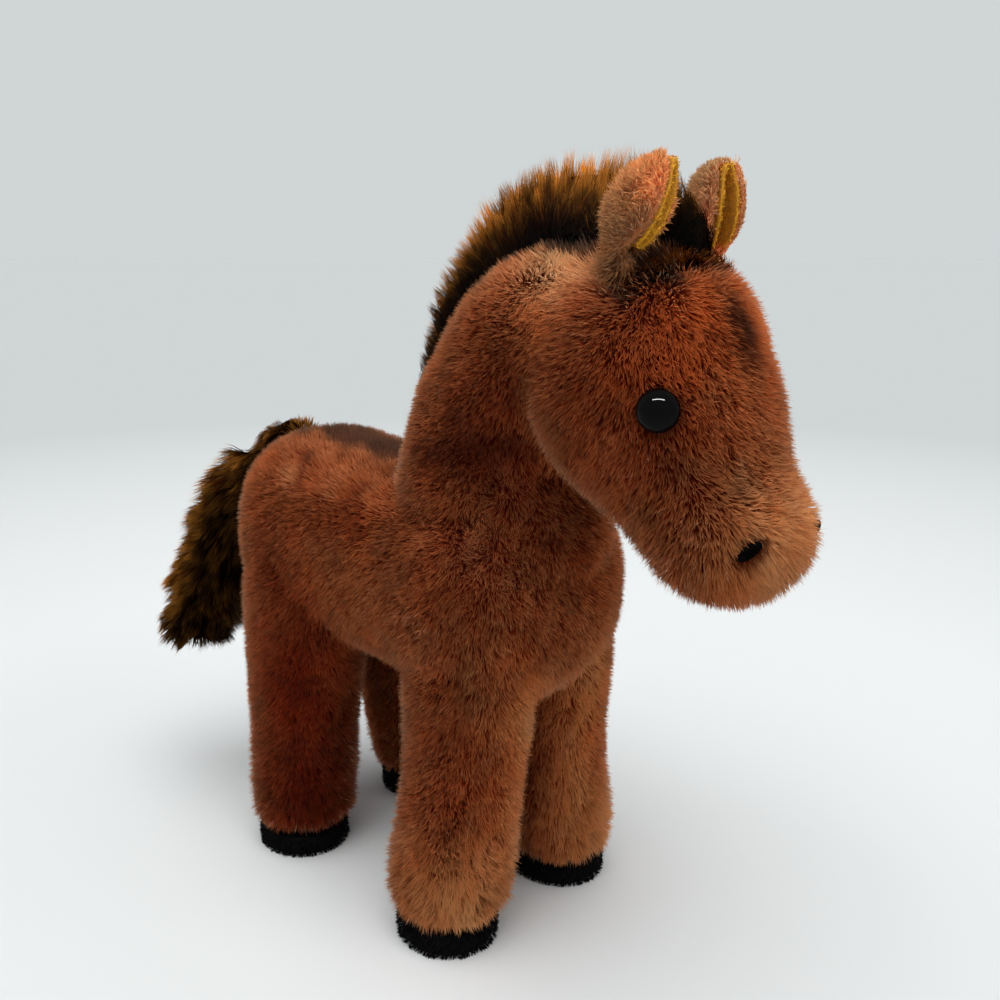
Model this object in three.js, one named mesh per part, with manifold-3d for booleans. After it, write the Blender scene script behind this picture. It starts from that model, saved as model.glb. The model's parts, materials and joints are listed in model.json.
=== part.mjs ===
import * as THREE from 'three';
import * as BufferGeometryUtils from 'three/addons/utils/BufferGeometryUtils.js';
import Module from 'manifold-3d';

// A stuffed plush horse standing on four black hooves, with felt-lined ears and a hanging tail.
// Millimetres, +Z up. The toy faces -Y and its left side is +X.
// Everything is drawn round a point on the floor midway between the hooves. The last step moves
// the toy so that the origin is the bottom centre of its bounding box.

const wasm = await Module();
wasm.setup();

// Clearances
const seamGap = 0.35;
const cutOverrun = 4;

// Colours
const chestnut = 0xa35a34;
const black = 0x0d0c0c;
const maneBrown = 0x4a2f1a;
const feltYellow = 0xd99a25;

// Hooves and stance
const hoofLength = 31;
const hoofWidth = 29;
const hoofHeight = 8.5;
const hoofEdgeRound = 1.6;
const soleThickness = 1.6;
const soleBorder = 2.4;
const stanceLength = 73.6;
const foreTrack = 49.2;
const hindTrack = 54;
const hoofSegments = 24;
const hoofEdgeSteps = 3;

// Torso, from the chest to the rump
const torsoLength = 141;
const torsoWidth = 74;
const torsoHeight = 70;
const bellyHeight = 70.5;
const chestReach = 67.5;
const torsoSquareness = 2.45;
const torsoSpineShares = [[0, -0.04], [0.3, -0.01], [0.62, 0], [1, 0.02]];
const torsoSectionShares = [
  [0, 0.94, 0.86, 0.92],
  [0.18, 1.0, 0.98, 0.98],
  [0.45, 0.92, 0.94, 0.94],
  [0.75, 0.95, 0.96, 0.94],
  [1, 0.92, 1.06, 0.94],
];
const torsoCapShares = [0.26, 0.16];
const torsoCapFullness = 2.5;

// Legs, from the hip to the top of the hoof
const foreHipHeight = 108;
const foreLegWidth = 32.5;
const foreLegDepth = 45;
const foreHipInset = 8;
const foreKneeInset = 7;
const foreHipAhead = 2;
const foreLegSectionShares = [
  [0, 1.0, 1.0, 1.0],
  [0.3, 1.0, 1.0, 1.0],
  [0.55, 0.98, 0.88, 0.88],
  [0.85, 1.03, 0.84, 0.82],
  [1, 0.98, 0.78, 0.76],
];
const hindHipHeight = 108;
const hindLegWidth = 35;
const hindLegDepth = 52;
const hindHipInset = 7.5;
const hindKneeInset = 5;
const hindHipBehind = 4;
const hindLegSectionShares = [
  [0, 1.0, 1.0, 1.0],
  [0.3, 1.0, 1.0, 1.0],
  [0.6, 0.97, 0.9, 0.76],
  [0.85, 0.94, 0.68, 0.68],
  [1, 0.9, 0.62, 0.66],
];
const legSquareness = 2.1;
const legCapShares = [0.25, 0.05];
const legCapFullness = 3.2;

// Neck, from the poll down into the shoulders
const neckReach = 54;
const neckRise = 75;
const neckBaseReach = 28;
const neckBaseHeight = 104;
const neckWidth = 52;
const neckDepth = 68;
const neckSquareness = 2.15;
const neckSpineShares = [[1, 0.97], [0.6, 0.96], [0.27, 0.72], [0.08, 0.36], [0, 0]];
const neckSectionShares = [
  [0, 0.9, 0.7, 0.6],
  [0.25, 0.94, 0.83, 0.7],
  [0.5, 0.98, 0.86, 0.84],
  [0.75, 1.08, 0.86, 1.14],
  [1, 1.2, 0.94, 1.2],
];
const neckCapShares = [0.2, 0.2];
const neckCapFullness = 2;

// Head, from the muzzle to the back of the skull
const headLength = 92;
const headWidth = 58;
const headDepth = 64;
const muzzleReach = 124;
const muzzleHeight = 123;
const headPitch = 50;
const headBow = 3;
const headSquareness = 2.2;
const headSectionShares = [
  [0, 0.66, 0.58, 0.54],
  [0.14, 0.68, 0.54, 0.62],
  [0.28, 0.73, 0.52, 0.73],
  [0.42, 0.84, 0.7, 0.91],
  [0.55, 0.93, 0.85, 1.03],
  [0.68, 1.0, 0.96, 1.04],
  [0.85, 1.0, 0.94, 0.96],
  [1, 0.96, 0.88, 0.9],
];
const headCapShares = [0.18, 0.36];
const headCapFullness = 2;

// Safety eyes: a domed button whose stem is held by a washer behind the plush
const eyePlaceShare = 0.476;
const eyeTurn = 25.1;
const eyeDiameter = 10;
const eyeDome = 3.6;
const eyeSink = 1.2;
const eyeStemDiameter = 3;
const eyeStemLength = 11;
const eyeWasherDiameter = 13;
const eyeWasherThickness = 1.6;
const eyeWasherDepth = 5;
const eyeSegments = 20;
const eyeDomeSteps = 5;

// Nostrils: an oval pad of black satin stitch
const nostrilPlaceShare = 0.106;
const nostrilTurn = 38.4;
const nostrilLength = 6.4;
const nostrilWidth = 3;
const nostrilThickness = 2;
const nostrilSlant = 41;
const nostrilSegments = 16;

// Ears: a folded leaf of plush with a felt lining, sewn on at a pinched root
const earPlaceShare = 0.81;
const earTurn = 50;
const earLength = 25.5;
const earWidth = 27;
const earThickness = 2.8;
const earFoldRadius = 3.3;
const earFoldTurn = 80;
const earFoldBehind = 8;
const earRootDiameter = 7;
const earRootRise = 0.4;
const earLeanIn = 17;
const earLeanAhead = 20;
const earTurnIn = 20;
const earOutlineShares = [
  [0, 0.24], [0.14, 0.5], [0.3, 0.86], [0.5, 1.0], [0.72, 0.88], [0.88, 0.62], [1, 0.3],
];
const earStartShare = 0.08;
const earLiningThickness = 0.8;
const earLiningStartShare = 0.2;
const earLiningWidthShare = 0.97;
const earRows = 10;
const earColumns = 10;
const earRootSegments = 16;
const earBend = 20;

// Mane: a strip of long pile along the crest, from between the ears to the withers
const maneWidth = 11;
const maneHeight = 20;
const maneHeadPlaceShares = [0.75, 0.83];
const maneNeckPlaceShares = [0.13, 0.26, 0.4, 0.52, 0.64];
const maneSectionShares = [
  [0, 0.5, 0.3, 0.5],
  [0.12, 0.5, 0.5, 0.5],
  [0.24, 0.7, 0.9, 0.5],
  [0.38, 0.9, 1.0, 0.5],
  [0.6, 1.0, 0.82, 0.5],
  [0.82, 1.0, 0.64, 0.5],
  [1, 0.8, 0.4, 0.5],
];
const maneSquareness = 2.6;
const maneCapShares = [0.06, 0.08];
const maneCapFullness = 2.4;

// Tail: a thick strip of the same pile on a dock that is sewn into the rump seam
const tailDockDiameter = 8;
const tailDockSegments = 20;
const tailDockPlaceShare = 0.96;
const tailDockStandOff = 1;
const tailLength = 95;
const tailWidth = 32;
const tailThickness = 23;
const tailLean = 36;
const tailSwing = 35;
const tailDroop = 11;
const tailSwingLimit = 45;
const tailSwingSteps = 8;
const tailSectionShares = [
  [0, 0.5, 0.7, 0.34],
  [0.12, 0.62, 0.86, 0.4],
  [0.3, 0.8, 1.0, 0.66],
  [0.55, 0.94, 1.0, 0.9],
  [0.8, 1.0, 1.0, 1.0],
  [1, 0.9, 0.9, 0.9],
];
const tailSquareness = 2.2;
const tailCapShares = [0.06, 0.14];
const tailCapFullness = 2.6;

// Facets
const torsoFacets = { rings: 24, sides: 28 };
const neckFacets = { rings: 20, sides: 26 };
const headFacets = { rings: 24, sides: 28 };
const legFacets = { rings: 16, sides: 20 };
const maneFacets = { rings: 28, sides: 12 };
const tailFacets = { rings: 18, sides: 16 };
const surfaceStepShare = 0.004;

// Interpolates one column of a table whose rows start with their place, from 0 to 1.
function tableValue(rows, place, column) {
  let last = rows.length - 2;
  while (last > 0 && rows[last][0] > place) {
    last -= 1;
  }
  const slope = (index) => {
    const before = rows[Math.max(index - 1, 0)];
    const after = rows[Math.min(index + 1, rows.length - 1)];
    return (after[column] - before[column]) / (after[0] - before[0]);
  };
  const start = rows[last];
  const end = rows[last + 1];
  const span = end[0] - start[0];
  const t = (place - start[0]) / span;
  const t2 = t * t;
  const t3 = t2 * t;
  return start[column] * (2 * t3 - 3 * t2 + 1) + slope(last) * span * (t3 - 2 * t2 + t)
    + end[column] * (3 * t2 - 2 * t3) + slope(last + 1) * span * (t3 - t2);
}

// How far the end caps let the section open at a place along a form
function capOpening(place, caps, fullness) {
  const fromStart = Math.min(place / caps[0], 1);
  const fromEnd = Math.min((1 - place) / caps[1], 1);
  const round = (share) => Math.max(0, 1 - (1 - share) ** fullness) ** (1 / fullness);
  return round(fromStart) * round(fromEnd);
}

// A stuffed form swept along a spine. Its sections are rounded ovals with one half width to the
// sides, one half depth over the spine and one under it.
class StuffedForm {
  constructor({ spine, width, depth, sections, squareness, caps, fullness, facets }) {
    this.spine = spine;
    this.width = width;
    this.depth = depth;
    this.sections = sections;
    this.squareness = squareness;
    this.caps = caps;
    this.fullness = fullness;
    this.facets = facets;
  }

  // Angle 0 is the left side, a quarter turn is over the spine.
  point(place, angle, clearance = 0) {
    const centre = this.spine.getPoint(place);
    const tangent = this.spine.getTangent(place);
    const side = new THREE.Vector3(1, 0, 0);
    const over = new THREE.Vector3().crossVectors(side, tangent).normalize();
    const opening = capOpening(place, this.caps, this.fullness);
    const power = 2 / this.squareness;
    const cosine = Math.cos(angle);
    const sine = Math.sin(angle);
    const depthColumn = sine >= 0 ? 2 : 3;
    const halfWidth = opening * tableValue(this.sections, place, 1) * this.width / 2 + clearance;
    const halfDepth = opening * tableValue(this.sections, place, depthColumn) * this.depth / 2 + clearance;
    const across = halfWidth * Math.sign(cosine) * Math.abs(cosine) ** power;
    const up = halfDepth * Math.sign(sine) * Math.abs(sine) ** power;
    const along = clearance * (1 - opening) * (place < 0.5 ? -1 : 1);
    return centre.addScaledVector(side, across).addScaledVector(over, up).addScaledVector(tangent, along);
  }

  normal(place, angle) {
    const along = this.point(place + surfaceStepShare, angle).sub(this.point(place - surfaceStepShare, angle));
    const round = this.point(place, angle + surfaceStepShare).sub(this.point(place, angle - surfaceStepShare));
    const outward = this.point(place, angle).sub(this.spine.getPoint(place));
    const normal = new THREE.Vector3().crossVectors(round, along).normalize();
    return normal.dot(outward) < 0 ? normal.negate() : normal;
  }

  geometry(clearance = 0) {
    const { rings, sides } = this.facets;
    const positions = [];
    const indices = [];
    for (let ring = 1; ring < rings; ring += 1) {
      const place = (1 - Math.cos(Math.PI * ring / rings)) / 2;
      for (let step = 0; step < sides; step += 1) {
        positions.push(...this.point(place, 2 * Math.PI * step / sides, clearance));
      }
    }
    const startPole = (rings - 1) * sides;
    const endPole = startPole + 1;
    const endRing = (rings - 2) * sides;
    positions.push(...this.spine.getPoint(0).addScaledVector(this.spine.getTangent(0), -clearance));
    positions.push(...this.spine.getPoint(1).addScaledVector(this.spine.getTangent(1), clearance));
    for (let step = 0; step < sides; step += 1) {
      const next = (step + 1) % sides;
      for (let ring = 0; ring < rings - 2; ring += 1) {
        const here = ring * sides;
        indices.push(here + step, here + sides + step, here + next);
        indices.push(here + next, here + sides + step, here + sides + next);
      }
      indices.push(startPole, step, next);
      indices.push(endPole, endRing + next, endRing + step);
    }
    return closedGeometry(positions, indices);
  }
}

// A closed geometry whose faces point out
function closedGeometry(positions, indices) {
  const geometry = new THREE.BufferGeometry();
  geometry.setAttribute('position', new THREE.Float32BufferAttribute(positions, 3));
  geometry.setIndex(indices);
  return signedVolume(geometry) < 0 ? insideOut(geometry) : geometry;
}

function insideOut(geometry) {
  const indices = Array.from(geometry.getIndex().array);
  for (let face = 0; face < indices.length; face += 3) {
    [indices[face], indices[face + 1]] = [indices[face + 1], indices[face]];
  }
  geometry.setIndex(indices);
  return geometry;
}

function signedVolume(geometry) {
  const position = geometry.getAttribute('position');
  const index = geometry.getIndex();
  const corners = [new THREE.Vector3(), new THREE.Vector3(), new THREE.Vector3()];
  let volume = 0;
  for (let face = 0; face < index.count; face += 3) {
    corners.forEach((corner, at) => corner.fromBufferAttribute(position, index.getX(face + at)));
    volume += corners[0].dot(corners[1].clone().cross(corners[2])) / 6;
  }
  return volume;
}

// Conversions between geometries and boolean solids
function solidOf(geometry) {
  const bare = geometry.clone();
  bare.deleteAttribute('normal');
  bare.deleteAttribute('uv');
  const merged = BufferGeometryUtils.mergeVertices(bare);
  return new wasm.Manifold(new wasm.Mesh({
    numProp: 3,
    vertProperties: Float32Array.from(merged.getAttribute('position').array),
    triVerts: Uint32Array.from(merged.getIndex().array),
  }));
}

function geometryOf(solid) {
  const mesh = solid.getMesh();
  const geometry = new THREE.BufferGeometry();
  geometry.setAttribute('position', new THREE.Float32BufferAttribute(mesh.vertProperties, 3));
  geometry.setIndex(Array.from(mesh.triVerts));
  return geometry;
}

// Cuts a geometry by others and keeps its main body.
function cut(geometry, cutters) {
  const solid = cutters.reduce((rest, cutter) => rest.subtract(solidOf(cutter)), solidOf(geometry));
  const pieces = solid.decompose();
  return geometryOf(pieces.reduce((best, piece) => (piece.volume() > best.volume() ? piece : best)));
}

function mirrored(geometry) {
  return insideOut(geometry.clone().scale(-1, 1, 1));
}

function spineThrough(points) {
  return new THREE.CatmullRomCurve3(points.map((point) => new THREE.Vector3(...point)), false, 'centripetal');
}

const radians = THREE.MathUtils.degToRad;

// A frame at a point, from the direction of its Z axis and a direction near its -Y axis
function frameAt(point, zAxis, ahead) {
  const z = zAxis.clone().normalize();
  const y = ahead.clone().addScaledVector(z, -ahead.dot(z)).normalize().negate();
  const x = new THREE.Vector3().crossVectors(y, z);
  return new THREE.Matrix4().makeBasis(x, y, z).setPosition(point);
}

function ball(radius, segments) {
  const shape = new THREE.SphereGeometry(radius, segments, segments / 2);
  return closedGeometry(...mergedArrays(shape.deleteAttribute('normal').deleteAttribute('uv')));
}

// A turned solid whose profile is a list of radius and height pairs on the Z axis
function turned(profile, segments) {
  const points = profile.map(([radius, height]) => new THREE.Vector2(radius, height));
  const geometry = new THREE.LatheGeometry(points, segments).rotateX(Math.PI / 2);
  const bare = geometry.deleteAttribute('normal').deleteAttribute('uv');
  return closedGeometry(...mergedArrays(bare));
}

function mergedArrays(geometry) {
  const merged = BufferGeometryUtils.mergeVertices(geometry);
  const position = merged.getAttribute('position').array;
  const index = merged.getIndex().array;
  const indices = [];
  for (let face = 0; face < index.length; face += 3) {
    const [a, b, c] = index.slice(face, face + 3);
    if (a !== b && b !== c && c !== a) {
      indices.push(a, b, c);
    }
  }
  return [Array.from(position), indices];
}

const torso = new StuffedForm({
  spine: spineThrough(torsoSpineShares.map(([along, rise]) => [
    0, along * torsoLength - chestReach, bellyHeight + torsoHeight / 2 + rise * torsoHeight])),
  width: torsoWidth,
  depth: torsoHeight,
  sections: torsoSectionShares,
  squareness: torsoSquareness,
  caps: torsoCapShares,
  fullness: torsoCapFullness,
  facets: torsoFacets,
});

const neck = new StuffedForm({
  spine: spineThrough(neckSpineShares.map(([reach, rise]) => [
    0, -neckBaseReach - reach * neckReach, neckBaseHeight + rise * neckRise])),
  width: neckWidth,
  depth: neckDepth,
  sections: neckSectionShares,
  squareness: neckSquareness,
  caps: neckCapShares,
  fullness: neckCapFullness,
  facets: neckFacets,
});

const headRun = headLength * Math.cos(radians(headPitch));
const headRise = headLength * Math.sin(radians(headPitch));
const head = new StuffedForm({
  spine: spineThrough([
    [0, -muzzleReach, muzzleHeight],
    [0, -muzzleReach + headRun / 2 - headBow, muzzleHeight + headRise / 2 + headBow],
    [0, -muzzleReach + headRun, muzzleHeight + headRise],
  ]),
  width: headWidth,
  depth: headDepth,
  sections: headSectionShares,
  squareness: headSquareness,
  caps: headCapShares,
  fullness: headCapFullness,
  facets: headFacets,
});

function leg({ track, along, hipHeight, hipInset, hipShift, kneeInset, width, depth, sections }) {
  const foot = track / 2;
  const ankle = hoofHeight + seamGap;
  return new StuffedForm({
    spine: spineThrough([
      [foot - hipInset, along + hipShift, hipHeight],
      [foot - kneeInset, along + hipShift / 2, (hipHeight + ankle) / 2],
      [foot, along, ankle],
    ]),
    width,
    depth,
    sections,
    squareness: legSquareness,
    caps: legCapShares,
    fullness: legCapFullness,
    facets: legFacets,
  });
}

const foreFoot = [foreTrack / 2, -stanceLength / 2];
const hindFoot = [hindTrack / 2, stanceLength / 2];
const foreLeg = leg({
  track: foreTrack,
  along: -stanceLength / 2,
  hipHeight: foreHipHeight,
  hipInset: foreHipInset,
  hipShift: -foreHipAhead,
  kneeInset: foreKneeInset,
  width: foreLegWidth,
  depth: foreLegDepth,
  sections: foreLegSectionShares,
});
const hindLeg = leg({
  track: hindTrack,
  along: stanceLength / 2,
  hipHeight: hindHipHeight,
  hipInset: hindHipInset,
  hipShift: hindHipBehind,
  kneeInset: hindKneeInset,
  width: hindLegWidth,
  depth: hindLegDepth,
  sections: hindLegSectionShares,
});

// Hoof and sole on the left side at a foot, the sole let into the underside of the hoof
function hoofAt([x, y]) {
  const radius = hoofWidth / 2;
  const pocketRadius = radius - soleBorder;
  const pocketTop = soleThickness + seamGap;
  const edge = Array.from({ length: hoofEdgeSteps + 1 }, (_, step) => {
    const angle = Math.PI / 2 * step / hoofEdgeSteps;
    return [radius - hoofEdgeRound * (1 - Math.sin(angle)), hoofEdgeRound * (1 - Math.cos(angle))];
  });
  const topEdge = edge.slice().reverse().map(([r, height]) => [r, hoofHeight - height]);
  const profile = [[0, pocketTop], [pocketRadius, pocketTop], [pocketRadius, 0], ...edge, ...topEdge, [0, hoofHeight]];
  return turned(profile, hoofSegments).scale(1, hoofLength / hoofWidth, 1).translate(x, y, 0);
}

function soleAt([x, y]) {
  const radius = hoofWidth / 2 - soleBorder - seamGap;
  const profile = [[0, 0], [radius, 0], [radius, soleThickness], [0, soleThickness]];
  return turned(profile, hoofSegments).scale(1, hoofLength / hoofWidth, 1).translate(x, y, 0);
}

// Eye on the left side of the head
const eyeAngle = radians(eyeTurn);
const eyeNormal = head.normal(eyePlaceShare, eyeAngle);
const eyeSeat = head.point(eyePlaceShare, eyeAngle).addScaledVector(eyeNormal, -eyeSink);
const eyeFrame = frameAt(eyeSeat, eyeNormal, new THREE.Vector3(0, 0, 1));

function eyeShape(clearance) {
  const stem = eyeStemDiameter / 2 + clearance;
  const rim = eyeDiameter / 2 + clearance;
  const profile = [[0, -eyeStemLength - clearance], [stem, -eyeStemLength - clearance], [stem, -clearance]];
  for (let step = 0; step <= eyeDomeSteps; step += 1) {
    const angle = Math.PI / 2 * step / eyeDomeSteps;
    profile.push([rim * Math.cos(angle), (eyeDome + clearance) * Math.sin(angle) - clearance * (step === 0)]);
  }
  profile[profile.length - 1][0] = 0;
  return turned(profile, eyeSegments).applyMatrix4(eyeFrame);
}

function eyePocket() {
  const rim = eyeDiameter / 2 + seamGap;
  const profile = [[0, -seamGap], [rim, -seamGap], [rim, eyeDome + cutOverrun], [0, eyeDome + cutOverrun]];
  return turned(profile, eyeSegments).applyMatrix4(eyeFrame);
}

function eyeWasher(clearance) {
  const inner = eyeStemDiameter / 2 + seamGap - clearance;
  const outer = eyeWasherDiameter / 2 + clearance;
  const top = -eyeWasherDepth + clearance;
  const bottom = -eyeWasherDepth - eyeWasherThickness - clearance;
  const profile = [[inner, bottom], [outer, bottom], [outer, top], [inner, top], [inner, bottom]];
  return turned(profile, eyeSegments).applyMatrix4(eyeFrame);
}

// Nostril on the left side of the muzzle
function nostrilShape(clearance) {
  const angle = radians(nostrilTurn);
  const normal = head.normal(nostrilPlaceShare, angle);
  return ball(1, nostrilSegments)
    .scale(nostrilLength / 2 + clearance, nostrilWidth / 2 + clearance, nostrilThickness / 2 + clearance)
    .rotateZ(-radians(nostrilSlant))
    .applyMatrix4(frameAt(head.point(nostrilPlaceShare, angle), normal, new THREE.Vector3(0, 0, 1)));
}

// Ear on the left side of the head
const earAngle = radians(earTurn);
const earNormal = head.normal(earPlaceShare, earAngle);
const earRoot = head.point(earPlaceShare, earAngle).addScaledVector(earNormal, earRootRise);
const earAxis = new THREE.Vector3(-Math.tan(radians(earLeanIn)), -Math.tan(radians(earLeanAhead)), 1);
const earFront = new THREE.Vector3(-Math.sin(radians(earTurnIn)), -Math.cos(radians(earTurnIn)), 0);
const earFrame = frameAt(earRoot, earAxis, earFront);

// A leaf folded lengthwise: round at the fold behind, with both halves running on ahead. Its two
// faces lie at distances from the middle of the plush, outward being away from the hollow.
function foldedLeaf(innerOffset, outerOffset, startShare, widthShare) {
  const positions = [];
  const indices = [];
  const bendArc = earFoldRadius * radians(earFoldTurn);
  const column = earColumns + 1;
  const layer = column * (earRows + 1);
  for (const offset of [innerOffset, outerOffset]) {
    const radius = earFoldRadius + offset;
    for (let row = 0; row <= earRows; row += 1) {
      const place = startShare + (1 - startShare) * row / earRows;
      const outline = tableValue(earOutlineShares, place, 1);
      const foldCentre = outline * earFoldBehind - earFoldRadius;
      for (let step = 0; step <= earColumns; step += 1) {
        const arc = (2 * step / earColumns - 1) * widthShare * outline * earWidth / 2;
        const turn = THREE.MathUtils.clamp(arc, -bendArc, bendArc) / earFoldRadius;
        const straight = arc - turn * earFoldRadius;
        positions.push(radius * Math.sin(turn) + straight * Math.cos(turn));
        positions.push(foldCentre + radius * Math.cos(turn) - straight * Math.sin(turn));
        positions.push(place * earLength);
      }
    }
  }
  const quad = (a, b, c, d) => indices.push(a, b, c, a, c, d);
  for (let row = 0; row < earRows; row += 1) {
    for (let step = 0; step < earColumns; step += 1) {
      const at = row * column + step;
      quad(at, at + 1, at + column + 1, at + column);
      quad(layer + at, layer + at + column, layer + at + column + 1, layer + at + 1);
    }
    const edge = row * column;
    const farEdge = edge + earColumns;
    quad(edge, edge + column, layer + edge + column, layer + edge);
    quad(farEdge, layer + farEdge, layer + farEdge + column, farEdge + column);
  }
  for (let step = 0; step < earColumns; step += 1) {
    const top = earRows * column + step;
    quad(step, layer + step, layer + step + 1, step + 1);
    quad(top, top + 1, layer + top + 1, layer + top);
  }
  return closedGeometry(positions, indices);
}

function earRootBall(clearance) {
  return ball(earRootDiameter / 2 + clearance, earRootSegments).applyMatrix4(earFrame);
}

// The room the head takes as the ear bends forward and back on its root
function headRoom() {
  return [-earBend, 0, earBend].map((bend) => head.geometry(seamGap)
    .translate(...earRoot.clone().negate())
    .rotateX(radians(bend))
    .translate(...earRoot));
}

function earShell() {
  const leaf = foldedLeaf(-earThickness / 2, earThickness / 2, earStartShare, 1).applyMatrix4(earFrame);
  return geometryOf(solidOf(cut(leaf, headRoom())).add(solidOf(earRootBall(0))));
}

function earLining() {
  const outer = -earThickness / 2 - seamGap;
  const leaf = foldedLeaf(outer - earLiningThickness, outer, earLiningStartShare, earLiningWidthShare);
  return cut(leaf.applyMatrix4(earFrame), [earRootBall(seamGap), ...headRoom()]);
}

// Mane
const quarterTurn = Math.PI / 2;
const mane = new StuffedForm({
  spine: spineThrough([
    ...maneHeadPlaceShares.map((place) => head.point(place, quarterTurn).toArray()),
    ...maneNeckPlaceShares.map((place) => neck.point(place, quarterTurn).toArray()),
  ]),
  width: maneWidth,
  depth: 2 * maneHeight,
  sections: maneSectionShares,
  squareness: maneSquareness,
  caps: maneCapShares,
  fullness: maneCapFullness,
  facets: maneFacets,
});

// Tail and its dock
const dockCentre = torso.point(tailDockPlaceShare, quarterTurn)
  .addScaledVector(torso.normal(tailDockPlaceShare, quarterTurn), tailDockStandOff);

function dockBall(clearance) {
  return ball(tailDockDiameter / 2 + clearance, tailDockSegments).translate(...dockCentre);
}

// The tail is drawn in the middle plane, leaning back from its dock, and then swung to the right.
function tailShape() {
  const lean = radians(tailLean);
  const along = (share, droop) => [
    0,
    share * tailLength * Math.sin(lean) - droop * Math.cos(lean),
    -share * tailLength * Math.cos(lean) - droop * Math.sin(lean),
  ];
  const form = new StuffedForm({
    spine: spineThrough([along(0, 0), along(0.5, -tailDroop / 2), along(1, tailDroop / 2)]),
    width: tailWidth,
    depth: tailThickness,
    sections: tailSectionShares,
    squareness: tailSquareness,
    caps: tailCapShares,
    fullness: tailCapFullness,
    facets: tailFacets,
  });
  return form.geometry().rotateZ(radians(tailSwing)).translate(...dockCentre);
}

// The room the rump takes as the tail swings from side to side
function rumpRoom() {
  return Array.from({ length: tailSwingSteps + 1 }, (_, step) => torso.geometry(seamGap)
    .translate(...dockCentre.clone().negate())
    .rotateZ(radians(tailSwing - tailSwingLimit * (2 * step / tailSwingSteps - 1)))
    .translate(...dockCentre));
}

const toy = new THREE.Group();

const plushRoughness = 0.95;
const gloss = 0.15;

function addPiece(name, geometry, colour, roughness) {
  const mesh = new THREE.Mesh(geometry, new THREE.MeshStandardMaterial({ color: colour, roughness }));
  mesh.name = name;
  toy.add(mesh);
}

function addPair(name, leftGeometry, colour, roughness) {
  addPiece(`${name}_left`, leftGeometry, colour, roughness);
  addPiece(`${name}_right`, mirrored(leftGeometry), colour, roughness);
}

// Every smaller piece is cut by the larger ones it meets, with the clearance of a seam.
const torsoSpace = torso.geometry(seamGap);
const headSpace = head.geometry(seamGap);
const neckSpace = neck.geometry(seamGap);
const earSpace = earRootBall(seamGap);
const leftHeadCuts = [eyeShape(seamGap), eyePocket(), eyeWasher(seamGap), nostrilShape(seamGap), earSpace];
const headCuts = [...leftHeadCuts, ...leftHeadCuts.map(mirrored)];

addPiece('torso', cut(torso.geometry(), [dockBall(seamGap)]), chestnut, plushRoughness);
addPiece('neck', cut(neck.geometry(), [torsoSpace, headSpace, earSpace, mirrored(earSpace)]), chestnut, plushRoughness);
addPiece('head', cut(head.geometry(), headCuts), chestnut, plushRoughness);
addPair('fore_leg', cut(foreLeg.geometry(), [torsoSpace]), chestnut, plushRoughness);
addPair('hind_leg', cut(hindLeg.geometry(), [torsoSpace]), chestnut, plushRoughness);
addPair('fore_hoof', hoofAt(foreFoot), black, plushRoughness);
addPair('hind_hoof', hoofAt(hindFoot), black, plushRoughness);
addPair('fore_sole', soleAt(foreFoot), black, plushRoughness);
addPair('hind_sole', soleAt(hindFoot), black, plushRoughness);
addPair('ear_shell', earShell(), chestnut, plushRoughness);
addPair('ear_lining', earLining(), feltYellow, plushRoughness);
addPair('eye', eyeShape(0), black, gloss);
addPair('eye_washer', eyeWasher(0), black, gloss);
addPair('nostril', nostrilShape(0), black, plushRoughness);
addPiece('mane', cut(mane.geometry(), [torsoSpace, neckSpace, headSpace]), maneBrown, plushRoughness);
addPiece('tail_dock', dockBall(0), maneBrown, plushRoughness);
addPiece('tail', cut(tailShape(), [dockBall(seamGap), torsoSpace, ...rumpRoom()]), maneBrown, plushRoughness);

// The origin goes to the bottom centre of the toy's box.
const box = new THREE.Box3().setFromObject(toy);
const middle = box.getCenter(new THREE.Vector3());
toy.position.set(-middle.x, -middle.y, -box.min.z);
const horse = new THREE.Group();
horse.add(toy);

export default horse;
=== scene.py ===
"""The looks of a plush horse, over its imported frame: skins with modelled pile, a mane, a tail, felt-lined
ears, glossy eyes and stitched nostrils. Metres, +Z up. The toy faces -Y and its left side is +X."""
import json
import math
from typing import NamedTuple

import bmesh
import bpy
import numpy as np
from mathutils import Euler, Matrix, Vector
from mathutils.bvhtree import BVHTree

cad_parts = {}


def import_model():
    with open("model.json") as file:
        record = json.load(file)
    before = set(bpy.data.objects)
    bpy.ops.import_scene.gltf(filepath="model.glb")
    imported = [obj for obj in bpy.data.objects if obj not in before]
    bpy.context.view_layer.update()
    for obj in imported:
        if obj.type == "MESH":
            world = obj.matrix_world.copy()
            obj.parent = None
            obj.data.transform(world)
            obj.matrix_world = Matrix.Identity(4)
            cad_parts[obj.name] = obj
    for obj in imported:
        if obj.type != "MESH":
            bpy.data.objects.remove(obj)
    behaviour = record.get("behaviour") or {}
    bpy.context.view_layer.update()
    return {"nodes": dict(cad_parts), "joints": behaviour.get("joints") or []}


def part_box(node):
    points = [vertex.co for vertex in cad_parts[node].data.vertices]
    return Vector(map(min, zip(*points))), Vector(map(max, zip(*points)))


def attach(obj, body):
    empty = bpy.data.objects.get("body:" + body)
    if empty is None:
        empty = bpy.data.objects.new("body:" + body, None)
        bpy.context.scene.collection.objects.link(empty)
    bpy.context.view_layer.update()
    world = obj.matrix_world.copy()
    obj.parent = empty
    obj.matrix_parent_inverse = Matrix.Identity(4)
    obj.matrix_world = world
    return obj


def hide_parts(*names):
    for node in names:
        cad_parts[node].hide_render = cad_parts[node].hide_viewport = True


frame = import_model()
nodes = frame["nodes"]
joints = {joint["name"]: joint for joint in frame["joints"]}

SIDES = ("left", "right")
STUFFED = ["torso", "neck", "head"] + [f"{end}_leg_{side}" for end in ("fore", "hind") for side in SIDES]

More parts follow.
